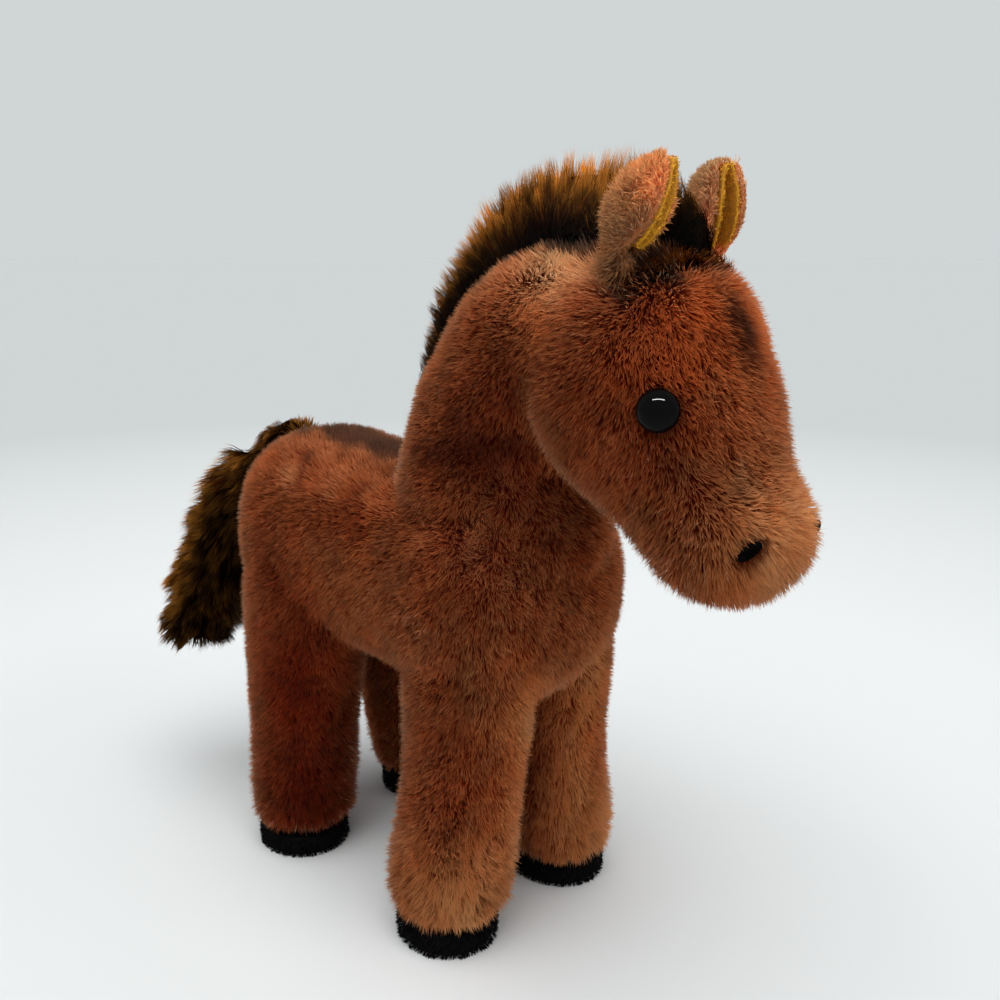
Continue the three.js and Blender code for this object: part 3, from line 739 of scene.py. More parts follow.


# Painted light and painted shade on the pile: the tips are lightened where light falls, as on the poll, the
# muzzle, the fore feet and the chest, and darkened where shade falls, as on the hind legs and in the creases
# at the neck.
# Each is a place on the right side, its reach, what the tips' colour is multiplied by, and how far the roots
# are lifted towards the tips' colour. The left side has the same places.
LIGHT_AND_SHADE_PATCHES = (
    ((-0.014, -0.062, 0.200), (0.016, 0.018, 0.009), (1.35, 2.20, 3.10), 0.95),
    ((-0.020, -0.059, 0.189), (0.012, 0.012, 0.010), (1.45, 1.50, 1.35), 0.75),
    ((-0.009, -0.124, 0.141), (0.018, 0.016, 0.018), (1.40, 2.00, 2.40), 0.90),
    ((-0.015, -0.114, 0.129), (0.014, 0.012, 0.012), (1.00, 0.90, 0.75), 0.00),
    ((-0.027, 0.0417, 0.1305), (0.004, 0.004, 0.006), (1.60, 2.20, 2.80), 0.40),
    ((-0.030, 0.006, 0.124), (0.010, 0.007, 0.008), (0.80, 0.60, 0.55), 0.00),
    ((-0.034, 0.011, 0.104), (0.014, 0.016, 0.016), (1.30, 1.35, 1.25), 0.00),
    ((-0.036, 0.042, 0.110), (0.012, 0.014, 0.018), (0.93, 0.76, 0.66), 0.00),
    ((-0.034, 0.033, 0.062), (0.020, 0.020, 0.035), (0.72, 0.29, 0.20), 0.00),
    ((-0.033, 0.030, 0.022), (0.020, 0.020, 0.025), (0.50, 0.20, 0.14), 0.00),
    ((-0.024, -0.046, 0.158), (0.020, 0.016, 0.018), (0.75, 0.52, 0.52), 0.00),
    ((-0.026, -0.088, 0.160), (0.014, 0.018, 0.014), (0.94, 0.76, 0.74), 0.00),
    ((-0.012, -0.100, 0.184), (0.020, 0.016, 0.018), (1.35, 1.15, 0.80), 0.48),
    ((-0.032, -0.042, 0.022), (0.018, 0.020, 0.020), (1.50, 1.95, 2.10), 0.75),
    ((-0.0225, -0.097, 0.1805), (0.008, 0.012, 0.010), (1.25, 1.05, 0.95), 0.28),
    ((-0.034, -0.040, 0.052), (0.014, 0.018, 0.014), (1.00, 0.76, 0.70), 0.00),
    ((-0.012, -0.047, 0.045), (0.008, 0.016, 0.030), (1.40, 1.60, 1.60), 0.45),
    ((-0.012, -0.055, 0.074), (0.012, 0.012, 0.014), (1.40, 1.70, 1.70), 0.40),
    ((-0.026, -0.030, 0.1490), (0.010, 0.014, 0.0042), (0.42, 0.30, 0.30), 0.00),
    ((-0.021, -0.050, 0.1525), (0.010, 0.012, 0.0042), (0.45, 0.35, 0.35), 0.00),
)


# The edges of the dark forelock, each a pair of places that it fades between
FORELOCK_FRONT, FORELOCK_BOW, FORELOCK_BLUR = -0.0962, 12, 0.0012
FORELOCK_BEHIND, FORELOCK_MIDDLE = (-0.088, -0.085), (0.007, 0.010)
FORELOCK_SIDES, FORELOCK_LEFT, FORELOCK_FOOT = (0.019, 0.023), (0.004, 0.008), (0.1865, 0.1895)

# How far tips' colours vary by blotch, hue, tuft and lock, and how far the streak and the stripe darken them
BLOTCHES, HUES, TUFT_SHADES, LOCK_SHADES = 0.10, 0.05, 0.16, 0.06
STREAK_SHADE = np.array([0.90, 0.94, 0.92])
STRIPE_SIDES, STRIPE_FACING = (0.004, 0.019), (0.30, 0.75)
STRIPE_FRONT, STRIPE_BACK, STRIPE_WOBBLE = (-0.030, -0.015), (0.060, 0.080), 0.003
STRIPE_SHADE = np.array([0.78, 0.76, 0.62])
CROWN_WOBBLE, CROWN_SHADES = 0.25, 0.25


def forelock(points):
    """How far a place on the head is under the dark forelock, which lies between the ears and before them."""
    aside = np.abs(points[:, :1])
    front = FORELOCK_FRONT + FORELOCK_BOW * aside ** 2
    ahead = smoothstep(-FORELOCK_BLUR, FORELOCK_BLUR, points[:, 1:2] - front)
    behind = np.maximum(fall(*FORELOCK_BEHIND, points[:, 1:2]), fall(*FORELOCK_MIDDLE, aside))
    inside = fall(*FORELOCK_SIDES, aside) * fall(*FORELOCK_LEFT, points[:, :1])
    return inside * ahead * behind * smoothstep(*FORELOCK_FOOT, points[:, 2:])


def chestnut_tints(rng, points, normals):
    """Each tuft's tip colour on the body, with painted light and shade, and how far its root is lifted."""
    count = (len(points), 1)
    wander = blotch(points)
    tints = np.repeat([CHESTNUT], len(points), 0)
    tints = tints * (1 + BLOTCHES * wander[:, :1]) * (1 + HUES * wander[:, 1:] * np.array([0, 1, 2]))
    tints = tints * np.exp(TUFT_SHADES * rng.normal(size=count) + LOCK_SHADES * lock(points)[:, 1:2])
    fade = np.zeros(count)
    # Painted light and shade: each patch lightens or darkens the tips near it and lifts their roots.
    for centre, reach, shares, lifted in LIGHT_AND_SHADE_PATCHES:
        near = spot(on_the_right(points), centre, reach)
        tints = tints * (1 + near * (np.array(shares) - 1))
        fade = np.maximum(fade, lifted * near)
    streak = spot(points, *STREAK)
    tints = tints * (1 - streak * STREAK_SHADE)
    wobble = STRIPE_WOBBLE * wander[:, 1:]
    stripe = fall(*STRIPE_SIDES, np.abs(points[:, :1]) + wobble)
    stripe = stripe * smoothstep(*STRIPE_FACING, normals[:, 2:]) * smoothstep(*STRIPE_FRONT, points[:, 1:2])
    stripe = stripe * fall(*STRIPE_BACK, points[:, 1:2] + wobble)
    tints = tints * (1 - stripe * STRIPE_SHADE)
    crown = forelock(points + CROWN_WOBBLE * wobble)
    tints = tints * (1 - crown) + crown * FORELOCK * np.exp(CROWN_SHADES * rng.normal(size=count))
    return tints / np.maximum(tints.max(1, keepdims=True), 1), fade * (1 - crown) * (1 - streak)


def panels(patch, count):
    """Divides a patch from end to end into panels of like area."""
    y = patch.centres()[:, 1]
    order = np.argsort(y)
    done = np.cumsum(patch.areas[order]) / patch.areas.sum()
    owner = np.empty(len(y), int)
    owner[order] = np.minimum((done * count).astype(int), count - 1)
    return [patch.part(owner == panel) for panel in range(count)]


class Growth:
    """How a panel's tufts grow: length, lean, locks, nap, colour with painted light and shade, and which are
    kept.
    """

    def __init__(self, rng, top, normals):
        count = (len(top), 1)
        self.top, self.normals = top, normals
        self.lengths = np.full(count, PILE_LENGTH)
        self.angles = np.full(count, float(PILE_LEAN))
        self.curls = np.full(count, PILE_CURL)
        self.keep = np.ones(len(top), bool)
        back = smoothstep(*BACK_FACING, normals[:, 2:]) * smoothstep(*BACK_FRONT, top[:, 1:2])
        level = np.maximum(back, smoothstep(*TOP_FACING, normals[:, 2:]))
        self.nap = np.repeat([NAP], len(top), 0) + level * np.array(NAP_ON_TOP)
        self.tints, self.fade = chestnut_tints(rng, top, normals)

    def from_place(self, place):
        """Each tuft's offset from a place, and its distance."""
        offset = self.top - place
        return offset, reaches(offset)

    def leg(self):
        """Longer pile in looser locks round the foot, and none under it."""
        self.keep &= ~((self.normals[:, 2] < UNDER_FOOT_FACING) & (self.top[:, 2] < UNDER_FOOT_HEIGHT))
        low = fall(*FOOT_PLACES, self.top[:, 2:])
        self.lengths *= 1 + FOOT_LENGTHENING * low
        self.curls += FOOT_CURL * low

    def head(self):
        """Longer pile on the jaw, the poll and the crown, laid over on the brow."""
        self.lengths *= 1 + JAW_LENGTHENING * fall(*JAW_PLACES, self.top[:, 2:])
        crown = forelock(self.top)
        self.lengths *= 1 + CROWN_LENGTHENING * crown
        self.angles += BROW_LEAN * spot(self.top, *BROW) + CROWN_LEAN * crown
        self.lengths *= 1 + POLL_LENGTHENING * spot(self.top * (0, 1, 1), *POLL_BAND)
        for side in SIDES:
            self.eye(eyes[side])
            self.nostril(nostrils[side])

    def eye(self, eye):
        """Bare under the dome. Round it the pile is short and dark and points away."""
        offset, reach = self.from_place(eye.seat)
        self.keep &= ~(reach < eye.radius * EYE_BARE_SHARE)
        near = fall(eye.radius, eye.radius * EYE_NAP_SHARE, reach)[:, None]
        self.nap = self.nap + EYE_NAP * near * unit(offset)
        self.lengths *= 1 - EYE_SHORTENING * near
        shade = fall(eye.radius, eye.radius * EYE_SHADE_SHARE, reach)[:, None]
        self.tints = self.tints * (1 - EYE_SHADE * shade)

    def nostril(self, oval):
        """Bare under the stitches. Round them the pile is short and dark."""
        offset, far = self.from_place(oval.centre)
        local = offset @ oval.axes.T / (oval.halves + NOSTRIL_MARGIN)
        reach = reaches(local[:, :2]) + 10 * (far > NOSTRIL_FARTHEST)
        self.keep &= ~(reach < NOSTRIL_BARE_SHARE)
        near = fall(*NOSTRIL_NEAR_SHARES, reach)[:, None]
        self.lengths *= 1 - NOSTRIL_SHORTENING * near
        self.tints = self.tints * (1 - near * np.array(NOSTRIL_SHADE))
        self.fade = self.fade * (1 - near)

    def ear(self, root):
        """A ruff of longer pile that points to the ear's root, and a hole for the root."""
        offset, reach = self.from_place(root)
        self.keep &= reach > EAR_HOLE
        near = fall(*EAR_RUFF, reach)[:, None]
        self.nap = self.nap - RUFF_NAP * near * unit(offset)
        self.lengths *= 1 + RUFF_LENGTHENING * near

    def mane(self):
        """Bare under the mane."""
        covered = np.abs(self.top[:, 0]) < MANE_HALF_WIDTH
        covered[covered] = distances(mane_tree, self.top[covered]) < MANE_TOUCH
        self.keep &= ~covered


def plush_panel(name, title, patch, rng):
    """A panel of a stuffed node: its skin and its short pile."""
    pile = Pile()
    pile.skin(patch, CHESTNUT * SKIN_BRIGHTER)
    points, normals = patch.scatter(rng, PILE_PER_SQUARE_MM)
    top = points + normals * SKIN_DEPTH
    growth = Growth(rng, top, normals)
    if "leg" in name:
        growth.leg()
    if name == "head":
        growth.head()
    for place, reach, more in LEAN_SPOTS:
        growth.angles += more * spot(top, place, reach)
    if "leg" not in name:
        for side in SIDES:
            growth.ear(ear_roots[side])
        growth.mane()
    keep, fade, count = growth.keep, growth.fade, growth.lengths.shape
    angles = np.where(rng.random(count) < UNDERCOAT_SHARE * fade, UNDERCOAT_LEAN, growth.angles)
    lean = lean_directions(rng, top, normals, growth.nap, angles, NAP_SCATTER, growth.curls)
    lengths = growth.lengths * rng.uniform(*PILE_LENGTH_SHARES, count)
    lengths = lengths * (1 + CURL_LENGTHENING * growth.curls * lock(top)[:, :1])
    widths = rng.uniform(*PILE_WIDTHS, count)
    turns = rng.normal(0, PILE_TURNS, count)
    groups, tints = gathered(growth.tints[keep])
    shading = unit(normals + POLL_LIFT * spot(on_the_right(top), *POLL_SIDE) * UP)
    pile.tufts(points[keep], shading[keep], lean[keep], turns[keep], lengths[keep], widths[keep], tints,
               groups, fade[keep])
    piece = shown(pile.mesh(title), title, chestnut_pile, "stuffed_body", "chestnut_plush", name)


for index, name in enumerate(STUFFED):
    patch = skin.part(owners == index)
    count = math.ceil(patch.areas.sum() * 1e6 * PILE_PER_SQUARE_MM / TUFTS_PER_PIECE)
    for panel, panel_patch in enumerate(panels(patch, count)):
        title = f"{name}_plush" if count == 1 else f"{name}_plush_{panel + 1}"
        plush_panel(name, title, panel_patch, np.random.default_rng(100 + 10 * index + panel))


# Hooves, ears, felt linings and the tail's dock
class Coat(NamedTuple):
    """Short pile: tufts to a square millimetre, their lean and its scatter, how far their colours and turns
    vary, and the ranges of their lengths and widths."""
    density: float
    lean: float
    scatter: float
    shades: float
    turns: float
    lengths: tuple
    widths: tuple


HOOF_COAT = Coat(3.0, 34, 0.5, 0.35, 0.5, (0.0015, 0.0024), (0.0004, 0.0006))
EAR_COAT = Coat(9, 40, 0.5, 0.18, 0.8, (0.0034, 0.0050), (0.00022, 0.00036))
FELT_COAT = Coat(7, 55, 1.2, 0.2, 0.7, (0.0005, 0.001), (0.0002, 0.0004))
DOCK_COAT = Coat(6.0, 40, 0.5, 0.25, 0.5, (0.0040, 0.0064), (0.0003, 0.0005))
HOOF_VOXEL, HOOF_CLOSING, HOOF_SKIN_DEPTH, HOOF_UNDER_FACING = 0.0009, 0.0003, 0.0009, -0.6
HOOF_TIP_HEIGHT, HOOF_REACH = 0.0004, 0.0016
EAR_VOXEL, EAR_SKIN_DEPTH, EAR_FELT_EDGE, FELT_VOXEL = 0.0006, 0.0007, 0.0010, 0.00035
EAR_SKIN_ALONG, EAR_BLOTCHES = 0.85, 0.20
EAR_FOOT, EAR_FOOT_NAP, EAR_FOOT_SHADE = (0.001, 0.009), (0, 0.2, -1.0), (0.05, 0.15, 0.20)
EAR_NAP_RISE, EAR_FOOT_LENGTHENING = 0.004, 0.3
EAR_TOP, EAR_TOP_SHORTENING = (0.75, 1), 0.4
EAR_EDGE, EAR_EDGE_SHARES = (0.0010, 0.0035), (0.6, 0.4)
TRIM_GAPS, TRIM_FACING, TRIM_LEAN, TRIM_SHORTENING = (0.0040, 0.0070), (0.0, 0.5), 25, 0.75
EAR_FRONT = np.array([0.715, -0.70, 0])
# Painted light on the ears: each side lightens its tips and lifts its roots, the shaded left ear the most.
EAR_LIT_SHARES = {"left": np.array([1.18, 1.42, 1.50]), "right": np.array([1.18, 1.25, 1.10])}
EAR_ROOT_LIFT = {"left": 0.95, "right": 0.75}
EAR_LIFT = {"left": 2.5, "right": 0.8}
DOCK_VOXEL, DOCK_SKIN_DEPTH, DOCK_SHADE, DOCK_FADE = 0.0008, 0.0008, 0.6, 0.3


def coat_lean(rng, coat, points, normals, nap, more=0):
    return lean_directions(rng, points, normals, nap, coat.lean + more, coat.scatter)


def hoof_piece(end, side, index):
    """A hoof and its sole, whose pile stays off the ground."""
    rng = np.random.default_rng(200 + index)
    hoof, sole = f"{end}_hoof_{side}", f"{end}_sole_{side}"
    surface = remeshed([hoof, sole], HOOF_VOXEL, 3, even(HOOF_CLOSING))
    surface.inset(HOOF_SKIN_DEPTH)
    surface.points[:, 2] -= surface.points[:, 2].min()
    pile = Pile()
    pile.skin(surface, BLACK)
    points, normals = surface.scatter(rng, HOOF_COAT.density)
    keep = normals[:, 2] > HOOF_UNDER_FACING
    points, normals = points[keep], normals[keep]
    lean = coat_lean(rng, HOOF_COAT, points, normals, (0, 0, -1.0))
    lean[:, 2] = np.maximum(lean[:, 2], (HOOF_TIP_HEIGHT - points[:, 2]) / HOOF_REACH)
    tints = varied(rng, BLACK, points, HOOF_COAT.shades)
    lengths = rng.uniform(*HOOF_COAT.lengths, (len(points), 1))
    pile.coat(rng, HOOF_COAT, points, normals, unit(lean), tints, lengths)
    pile.points = [np.maximum(part, (-np.inf, -np.inf, 0)) for part in pile.points]
    piece = shown(pile.mesh(hoof), f"{hoof}_plush", black_pile, "stuffed_body", "black_plush", hoof, sole)


for index, (end, side) in enumerate((end, side) for end in ("fore", "hind") for side in SIDES):
    hoof_piece(end, side, index)


def ear_shell(side, rng):
    """A folded leaf of plush. Its pile is trimmed beside the felt in front, and turns down at its foot."""
    shell, root = f"ear_shell_{side}", ear_roots[side]
    surface = remeshed([shell], EAR_VOXEL, 4)
    surface.inset(EAR_SKIN_DEPTH)
    pile = Pile()
    pile.skin(surface, EAR_TAN, EAR_SKIN_ALONG)
    points, normals = surface.scatter(rng, EAR_COAT.density)
    gaps = distances(tree_of(f"ear_lining_{side}"), points)
    clear = gaps >= EAR_FELT_EDGE
    points, normals, gaps = points[clear], normals[clear], gaps[clear][:, None]
    foot = fall(*EAR_FOOT, points[:, 2:] - root[2])
    nap = unit(points - root + UP * EAR_NAP_RISE) * (1 - foot) + np.array(EAR_FOOT_NAP) * foot
    trimmed = fall(*TRIM_GAPS, gaps) * smoothstep(*TRIM_FACING, normals @ EAR_FRONT)[:, None]
    lean = coat_lean(rng, EAR_COAT, points, normals, nap, TRIM_LEAN * trimmed)
    # Painted light: this ear's own shares lighten its tips.
    tints = varied(rng, EAR_TAN * EAR_LIT_SHARES[side], points, EAR_COAT.shades)
    tints = tints * (1 + EAR_BLOTCHES * blotch(points)[:, :1]) * (1 - foot * np.array(EAR_FOOT_SHADE))
    height = (points[:, 2:] - root[2]) / (points[:, 2].max() - root[2])
    lengths = rng.uniform(*EAR_COAT.lengths, (len(points), 1)) * (1 + EAR_FOOT_LENGTHENING * foot)
    lengths = lengths * (1 - EAR_TOP_SHORTENING * smoothstep(*EAR_TOP, height))
    least, rest = EAR_EDGE_SHARES
    lengths *= (least + rest * smoothstep(*EAR_EDGE, gaps)) * (1 - TRIM_SHORTENING * trimmed)
    normals = unit(normals + EAR_LIFT[side] * UP)
    # Painted light: the roots are lifted towards the tips' colour, on the shaded left ear the most.
    pile.coat(rng, EAR_COAT, points, normals, lean, tints, lengths, EAR_ROOT_LIFT[side])
    piece = shown(pile.mesh(shell), f"{shell}_plush", ear_pile, f"ear_{side}", "chestnut_plush", shell)


def brushed(rng, coat, surface, skin_tint, nap, tint, fade=0):
    """A small piece's skin and its short pile."""
    pile = Pile()
    pile.skin(surface, skin_tint)
    points, normals = surface.scatter(rng, coat.density)
    lean = coat_lean(rng, coat, points, normals, nap)
    pile.coat(rng, coat, points, normals, lean, varied(rng, tint, points, coat.shades), fade=fade)
    return pile


for index, side in enumerate(SIDES):
    ear_rng = np.random.default_rng(300 + index)
    ear_shell(side, ear_rng)
    lining = f"ear_lining_{side}"
    felt = brushed(ear_rng, FELT_COAT, remeshed([lining], FELT_VOXEL, 3), FELT, (0, 0, 1.0), FELT)
    shown(felt.mesh(lining), f"{lining}_felt", felt_pile, f"ear_{side}", "yellow_felt", lining)


# Mane: long pile that stands on the crest, and shorter pile between the ears
def clumped(rng, tips, per_clump, pull):
    """Draws each hair's tip towards the nearest of a few leading tips."""
    leaders = tips[rng.choice(len(tips), max(int(len(tips) / per_clump), 1), replace=False)]
    nearest = np.empty(len(tips), int)
    for start in range(0, len(tips), 2000):
        part = tips[start:start + 2000]
        nearest[start:start + 2000] = ((part[:, None] - leaders[None]) ** 2).sum(-1).argmin(1)
    return tips + (leaders[nearest] - tips) * pull, nearest


def curved_paths(rng, roots, tips, bend):
    """Hairs from roots to tips that bow and waver a little."""
    shares = np.linspace(0, 1, HAIR_STEPS + 1)[None, :, None]
    straight = roots[:, None] * (1 - shares) + tips[:, None] * shares
    waver = rng.normal(0, HAIR_RIPPLE, roots.shape)[:, None]
    ripple = waver * np.sin(shares * 7 + rng.uniform(0, 6, (len(roots), 1, 1)))
    return straight + bend[:, None] * 4 * shares * (1 - shares) + ripple * shares


def hair_tints(rng, leaders, dark):
    """Golden brown to nearly black, alike within a clump. dark: the share of clumps that stay dark."""
    clumps = np.where(rng.random(leaders.max() + 1) < dark, DARK_CLUMP, 1.0)[leaders][:, None]
    shades = np.exp(CLUMP_SHADES * rng.normal(size=leaders.max() + 1))[leaders][:, None]
    return MANE_GOLD * clumps * shades * np.exp(HAIR_SHADES * rng.normal(size=(len(leaders), 1)))


def forelock_hairs(rng):
    places, ups = outer.part(owners == STUFFED.index("head")).scatter(rng, FORELOCK_HAIRS_PER_SQUARE_MM)
    chosen = forelock(places)[:, 0] > rng.uniform(*FORELOCK_THINNING, len(places))
    places, ups = places[chosen], ups[chosen]
    roots = places - ups * FORELOCK_DEPTH
    heading = ups + np.array(FORELOCK_WAY) + FORELOCK_SWAY * sway(places)
    heading = unit(heading + rng.normal(0, FORELOCK_SPREAD, places.shape))
    return roots, roots + heading * rng.uniform(*FORELOCK_LENGTHS, (len(roots), 1)), ups


def mane_piece():
    rng = np.random.default_rng(401)
    surface = remeshed(["mane"], MANE_VOXEL, 3)
    carriers = [tree_of(name) for name in ("head", "neck", "torso")]
    gaps = np.min([distances(tree, surface.points) for tree in carriers], 0)
    seats = surface.points[gaps < MANE_SEAT]
    core = surface.moved(surface.points - surface.normals * MANE_CORE_DEPTH)
    seat_tree = BVHTree.FromPolygons([tuple(p) for p in seats], [(i, i, i) for i in range(len(seats))])
    free = gaps[surface.triangles].min(1) > MANE_FREE
    points, normals = surface.part(free).scatter(rng, MANE_HAIRS / (surface.areas[free].sum() * 1e6))
    slide = np.array(MANE_SLIDE_WAY) * rng.normal(0, MANE_SLIDE, (len(points), 1))
    roots = np.array([seat_tree.find_nearest(Vector(point))[0] for point in points + slide])
    roots = roots - unit(points - roots) * MANE_ROOT_DEPTH
    heading = points - roots
    tips = roots + heading * rng.uniform(*MANE_LENGTH_SHARES, (len(points), 1))
    tips, leaders = clumped(rng, tips, MANE_PER_CLUMP, MANE_CLUMPING)
    front = fall(*MANE_FRONT, points[:, 1:2])
    # Painted shade at the mane's base: hairs that rise little above the crest are darkened almost to black.
    least, rest = MANE_LOW_SHARES
    rise = least + rest * smoothstep(*MANE_RISE, np.linalg.norm(heading, axis=1, keepdims=True))
    tints = hair_tints(rng, leaders, MANE_DARK) * (1 - MANE_FRONT_SHADE * front) * rise
    facing = unit(unit(heading) + normals)
    lock_roots, lock_tips, lock_facing = forelock_hairs(rng)
    roots, tips, facing = (np.concatenate(pair) for pair in
                           ((roots, lock_roots), (tips, lock_tips), (facing, lock_facing)))
    lock_tints = varied(rng, MANE_GOLD * FORELOCK_SHARES, lock_roots, FORELOCK_SHADES)
    paths = curved_paths(rng, roots, tips, rng.normal(0, MANE_BOW, roots.shape) + HAIR_SWAY * sway(roots))
    pile = Pile()
    pile.skin(core, MANE_GOLD)
    pile.hairs(rng, paths, facing, np.concatenate([tints, lock_tints]))
    shown(pile.mesh("mane"), "mane_pile", long_pile, "stuffed_body", "brown_pile", "mane")


mane_piece()


# Tail: the same pile, standing out from a core that falls from the dock
def centre_line(points, origin, axis):
    """The middle of a long form, in slices along an axis, and where each point is along it."""
    along = (points - origin) @ axis
    ends = np.linspace(along.min(), along.max(), TAIL_SLICES)
    width = SLICE_OVERLAP * (ends[1] - ends[0])
    middles = np.array([points[np.abs(along - end) < width].mean(0) for end in ends])
    middles += np.outer(ends - (middles - origin) @ axis, axis)
    line = np.stack([np.interp(along, ends, middles[:, k]) for k in range(3)], 1)
    return line, (along - ends[0]) / np.ptp(ends)


def tail_piece():
    rng = np.random.default_rng(402)
    surface = remeshed(["tail"], TAIL_VOXEL, 4)
    end = surface.points[surface.points[:, 2] < surface.points[:, 2].min() + TAIL_END].mean(0)
    axis = unit(end - dock)
    middles, _ = centre_line(surface.points, dock, axis)
    core = surface.moved(middles + (surface.points - middles) * TAIL_CORE_SHARE)
    points, _ = surface.scatter(rng, TAIL_HAIRS / (surface.areas.sum() * 1e6))
    count = (len(points), 1)
    middles, share = centre_line(points, dock, axis)
    share = share[:, None]
    spoke = points - middles
    outward = unit(spoke)
    roots = middles + spoke * TAIL_CORE_SHARE - axis * rng.uniform(*TAIL_ROOT_DEPTHS, count)
    flare = np.interp(share, TAIL_FLARE_PLACES, TAIL_FLARE) * rng.uniform(*TAIL_FLARE_SHARES, count)
    slide = np.interp(share, TAIL_SLIDE_PLACES, TAIL_SLIDE) + rng.normal(0, TAIL_SLIDE_SPREAD, count)
    tips = middles + spoke * rng.uniform(*TAIL_LENGTH_SHARES, count) + outward * flare + axis * slide
    tips = tips + TAIL_SWAY * sway(points)
    spread = np.maximum(outward[:, :1], 0) * smoothstep(*TAIL_SPREAD_PLACES, share)
    tips += spread * (np.array([TAIL_SPREAD, 0, 0]) + axis * TAIL_DROP)
    tips, leaders = clumped(rng, tips, TAIL_PER_CLUMP, TAIL_CLUMPING)
    bend = outward * HAIR_SWAY + HAIR_SWAY * sway(points) - axis * TAIL_DROOP
    paths = curved_paths(rng, roots, tips, bend)
    # Painted light and shade: hairs that face up, back and to the right keep their colour, the rest are
    # darkened.
    least, rest = TAIL_SHADE_SHARES
    lit_side = least + rest * smoothstep(*TAIL_LIT_RANGE, outward @ TAIL_LIT_WAY)[:, None]
    pile = Pile()
    pile.skin(core, MANE_GOLD, TAIL_SKIN_ALONG)
    pile.hairs(rng, paths, unit(outward + TAIL_FACING * axis), hair_tints(rng, leaders, TAIL_DARK) * lit_side)
    piece = shown(pile.mesh("tail"), "tail_pile", long_pile, "tail_body", "brown_pile", "tail")


def dock_piece():
    surface = remeshed(["tail_dock"], DOCK_VOXEL, 2)
    surface.inset(DOCK_SKIN_DEPTH)
    rng = np.random.default_rng(403)
    pile = brushed(rng, DOCK_COAT, surface, MANE_GOLD, (0, 1.0, 0.2), MANE_GOLD * DOCK_SHADE, DOCK_FADE)
    shown(pile.mesh("tail_dock"), "tail_dock_pile", long_pile, "tail_root", "brown_pile", "tail_dock")


tail_piece()
dock_piece()


# Eyes: a high dome with a turned rim, on its stem
def turned_mesh(name, profile, origin, axis):
    """A solid turned about an axis, from pairs of radius and height."""
    turned = bmesh.new()
    rows = []
    for radius, height in profile:
        if radius < 1e-7:
            rows.append([turned.verts.new((0, 0, height))])
            continue
        turns = [2 * math.pi * step / EYE_SEGMENTS for step in range(EYE_SEGMENTS)]
        rows.append([turned.verts.new((radius * math.cos(turn), radius * math.sin(turn), height))
                     for turn in turns])
    for low, high in zip(rows, rows[1:]):
        for step in range(EYE_SEGMENTS):
            corners = [low[step % len(low)], low[(step + 1) % len(low)],
                       high[(step + 1) % len(high)], high[step % len(high)]]
            turned.faces.new(list(dict.fromkeys(corners)))
    bmesh.ops.recalc_face_normals(turned, faces=turned.faces)
    for face in turned.faces:
        face.smooth = True
    mesh = bpy.data.meshes.new(name)
    turned.to_mesh(mesh)
    turned.free()
    turn = Vector((0, 0, 1)).rotation_difference(Vector(axis)).to_matrix().to_4x4()
    mesh.transform(Matrix.Translation(Vector(origin)) @ turn)
    return mesh


def eye_piece(side):
    eye = eyes[side]
    seat = np.linalg.norm(eye.seat - eye.end)
    dome = eye.height - seat
    rim = eye.radius
    stem = eye.stem_radius
    profile = [(0, 0), (stem * STEM_END_SHARE, 0), (stem, STEM_CHAMFER), (stem, seat - RIM_UNDER),
               (rim - RIM_CHAMFER, seat - RIM_UNDER), (rim, seat + RIM_OVER)]
    for step in range(1, DOME_STEPS + 1):
        angle = math.pi / 2 * step / DOME_STEPS
        radius = rim * math.cos(angle) * (step < DOME_STEPS)
        profile.append((radius, seat + RIM_OVER + (dome - RIM_OVER) * math.sin(angle)))
    mesh = turned_mesh(f"eye_{side}", profile, eye.end, eye.axis)
    shown(mesh, f"eye_{side}_dome", eye_gloss, "stuffed_body", "eye_plastic", f"eye_{side}")


# Nostrils: an oval pad worked in satin stitch across its width
def nostril_piece(side):
    oval = nostrils[side]
    rows, columns = 24, 96
    length, width, depth = oval.halves
    points = []
    for row in range(rows + 1):
        tilt = math.pi * (row / rows - 0.5)
        for column in range(columns):
            turn = 2 * math.pi * column / columns
            x, y = math.cos(tilt) * math.cos(turn), math.cos(tilt) * math.sin(turn)
            ridge = 1 + STITCH_RELIEF * math.cos(2 * math.pi * STITCHES * x) * max(math.sin(tilt), 0)
            place = np.array([x * length, y * width, math.sin(tilt) * depth]) * ridge
            points.append(oval.centre - oval.axes[2] * depth * NOSTRIL_SINK + oval.axes.T @ place)
    faces = []
    for row in range(rows):
        for column in range(columns):
            beside = (column + 1) % columns
            faces.append((row * columns + column, row * columns + beside,
                          (row + 1) * columns + beside, (row + 1) * columns + column))
    mesh = bpy.data.meshes.new(f"nostril_{side}")
    mesh.from_pydata([tuple(point) for point in points], [], faces)
    cleaned = bmesh.new()
    cleaned.from_mesh(mesh)
    bmesh.ops.remove_doubles(cleaned, verts=cleaned.verts, dist=1e-7)
    bmesh.ops.recalc_face_normals(cleaned, faces=cleaned.faces)
    cleaned.to_mesh(mesh)
    cleaned.free()
    mesh.polygons.foreach_set("use_smooth", np.ones(len(mesh.polygons), bool))
    shown(mesh, f"nostril_{side}_stitch", satin_thread, "stuffed_body", "black_thread", f"nostril_{side}")


for side in SIDES:
    eye_piece(side)
    nostril_piece(side)
    washer = nodes[f"eye_washer_{side}"]
    if not washer.material_slots:
        washer.data.materials.append(washer_plastic)
    for slot in washer.material_slots:
        slot.material = washer_plastic


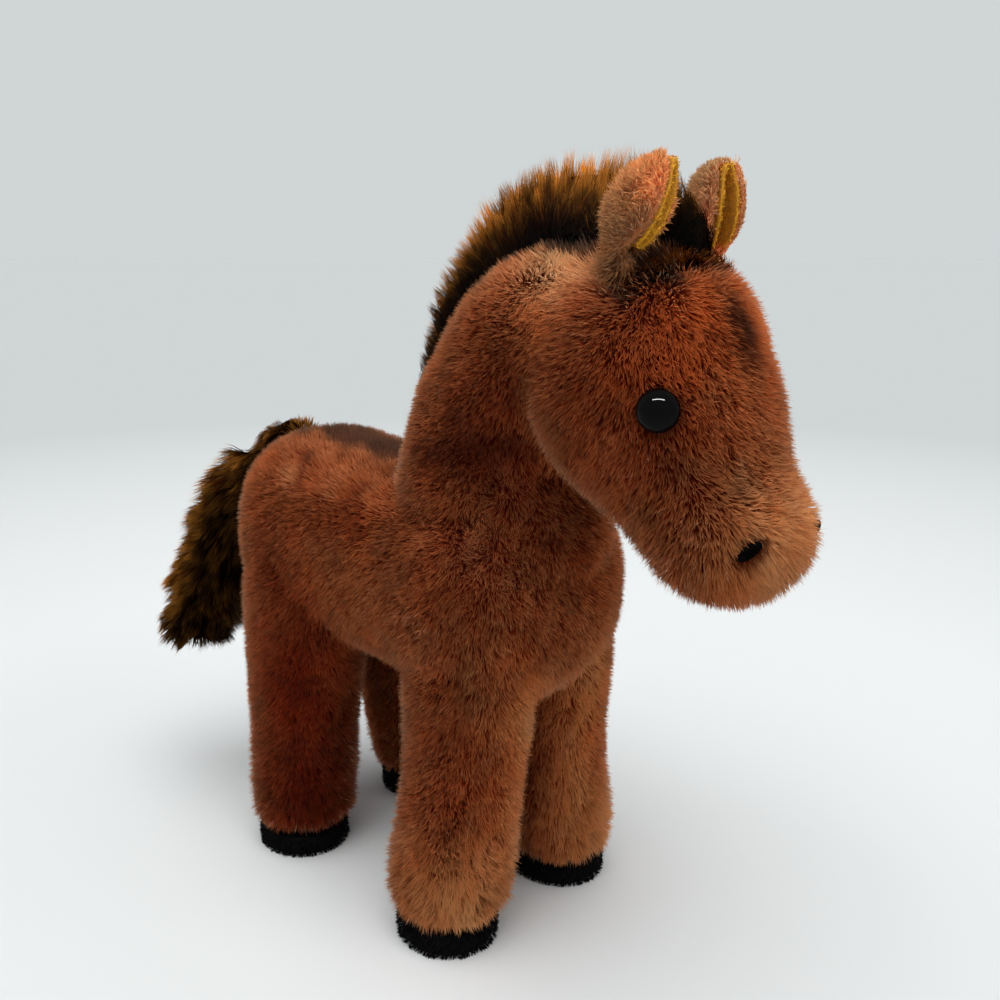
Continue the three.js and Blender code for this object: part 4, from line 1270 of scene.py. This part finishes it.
# Floor, light and camera
def floor_material():
    """A pale table that turns to the wall's grey far from the toy."""
    material, tree, shader = new_material("floor_pale")
    place = node(tree, "TexCoord")
    reach = node(tree, "VectorMath", operation="LENGTH")
    ramp = colour_ramp(tree, ((0.3, FLOOR_NEAR), (0.95, FLOOR_FAR)))
    link(place, "Object", reach, 0)
    link(reach, "Value", ramp, "Fac")
    link(ramp, "Color", shader, "Base Color")
    fill(shader, {"Roughness": 0.9, "Specular IOR Level": 0})
    return material


def stage():
    disc = bmesh.new()
    bmesh.ops.create_circle(disc, cap_ends=True, segments=96, radius=FLOOR_REACH)
    mesh = bpy.data.meshes.new("floor")
    disc.to_mesh(mesh)
    disc.free()
    floor = placed("floor", mesh)
    mesh.materials.append(floor_material())


def world():
    """Even light from all round. The camera, gloss and glass see a pale wall instead."""
    studio = bpy.data.worlds.new("studio")
    bpy.context.scene.world = studio
    studio.use_nodes = True
    tree = studio.node_tree
    light = tree.nodes["Background"]
    fill(light, {"Color": (*SKY, 1), "Strength": WORLD_LIGHT})
    wall = node(tree, "Background")
    fill(wall, {"Color": (*WALL, 1)})
    path = node(tree, "LightPath")
    either = node(tree, "Math", operation="MAXIMUM")
    also = node(tree, "Math", operation="MAXIMUM")
    both = node(tree, "MixShader")
    link(path, "Is Camera Ray", either, 0)
    link(path, "Is Glossy Ray", either, 1)
    link(either, "Value", also, 0)
    link(path, "Is Transmission Ray", also, 1)
    link(also, "Value", both, "Fac")
    link(light, "Background", both, 1)
    link(wall, "Background", both, 2)
    link(both, "Shader", tree.nodes["World Output"], "Surface")


def lamp(name, kind, place, power, size, height=None):
    """A lamp that faces the toy. size: a sun's angle, or the width of a strip that shows as a highlight."""
    data = bpy.data.lights.new(name, kind)
    data.energy = power
    if kind == "SUN":
        data.angle = math.radians(size)
    else:
        data.shape = "RECTANGLE"
        data.size = size
        data.size_y = height
    piece = placed(name, data)
    piece.visible_diffuse = kind == "SUN"
    piece.visible_glossy = kind != "SUN"
    piece.location = place
    piece.rotation_euler = (Vector(TOY_MIDDLE) - Vector(place)).to_track_quat("-Z", "Y").to_euler()


def camera():
    """The photograph's camera, as fitted to the toy's feet and outline."""
    data = bpy.data.cameras.new("camera")
    data.sensor_width = FILM_WIDTH
    data.lens = LENS
    data.clip_start = 0.01
    lens = placed("camera", data)
    lens.location = CAMERA_PLACE
    lens.rotation_euler = Euler((math.radians(CAMERA_TILT), 0, math.radians(CAMERA_TURN)))
    bpy.context.scene.camera = lens


stage()
world()
lamp("key", "SUN", (-0.20, -0.10, 1.00), 2.4, 60)
lamp("fill", "SUN", (0.30, -0.90, 0.40), 0.9, 50)
lamp("window", "AREA", (-0.38, -0.26, 0.62), 12.0, 0.50, 0.04)
camera()
bpy.context.scene.view_settings.view_transform = "Standard"
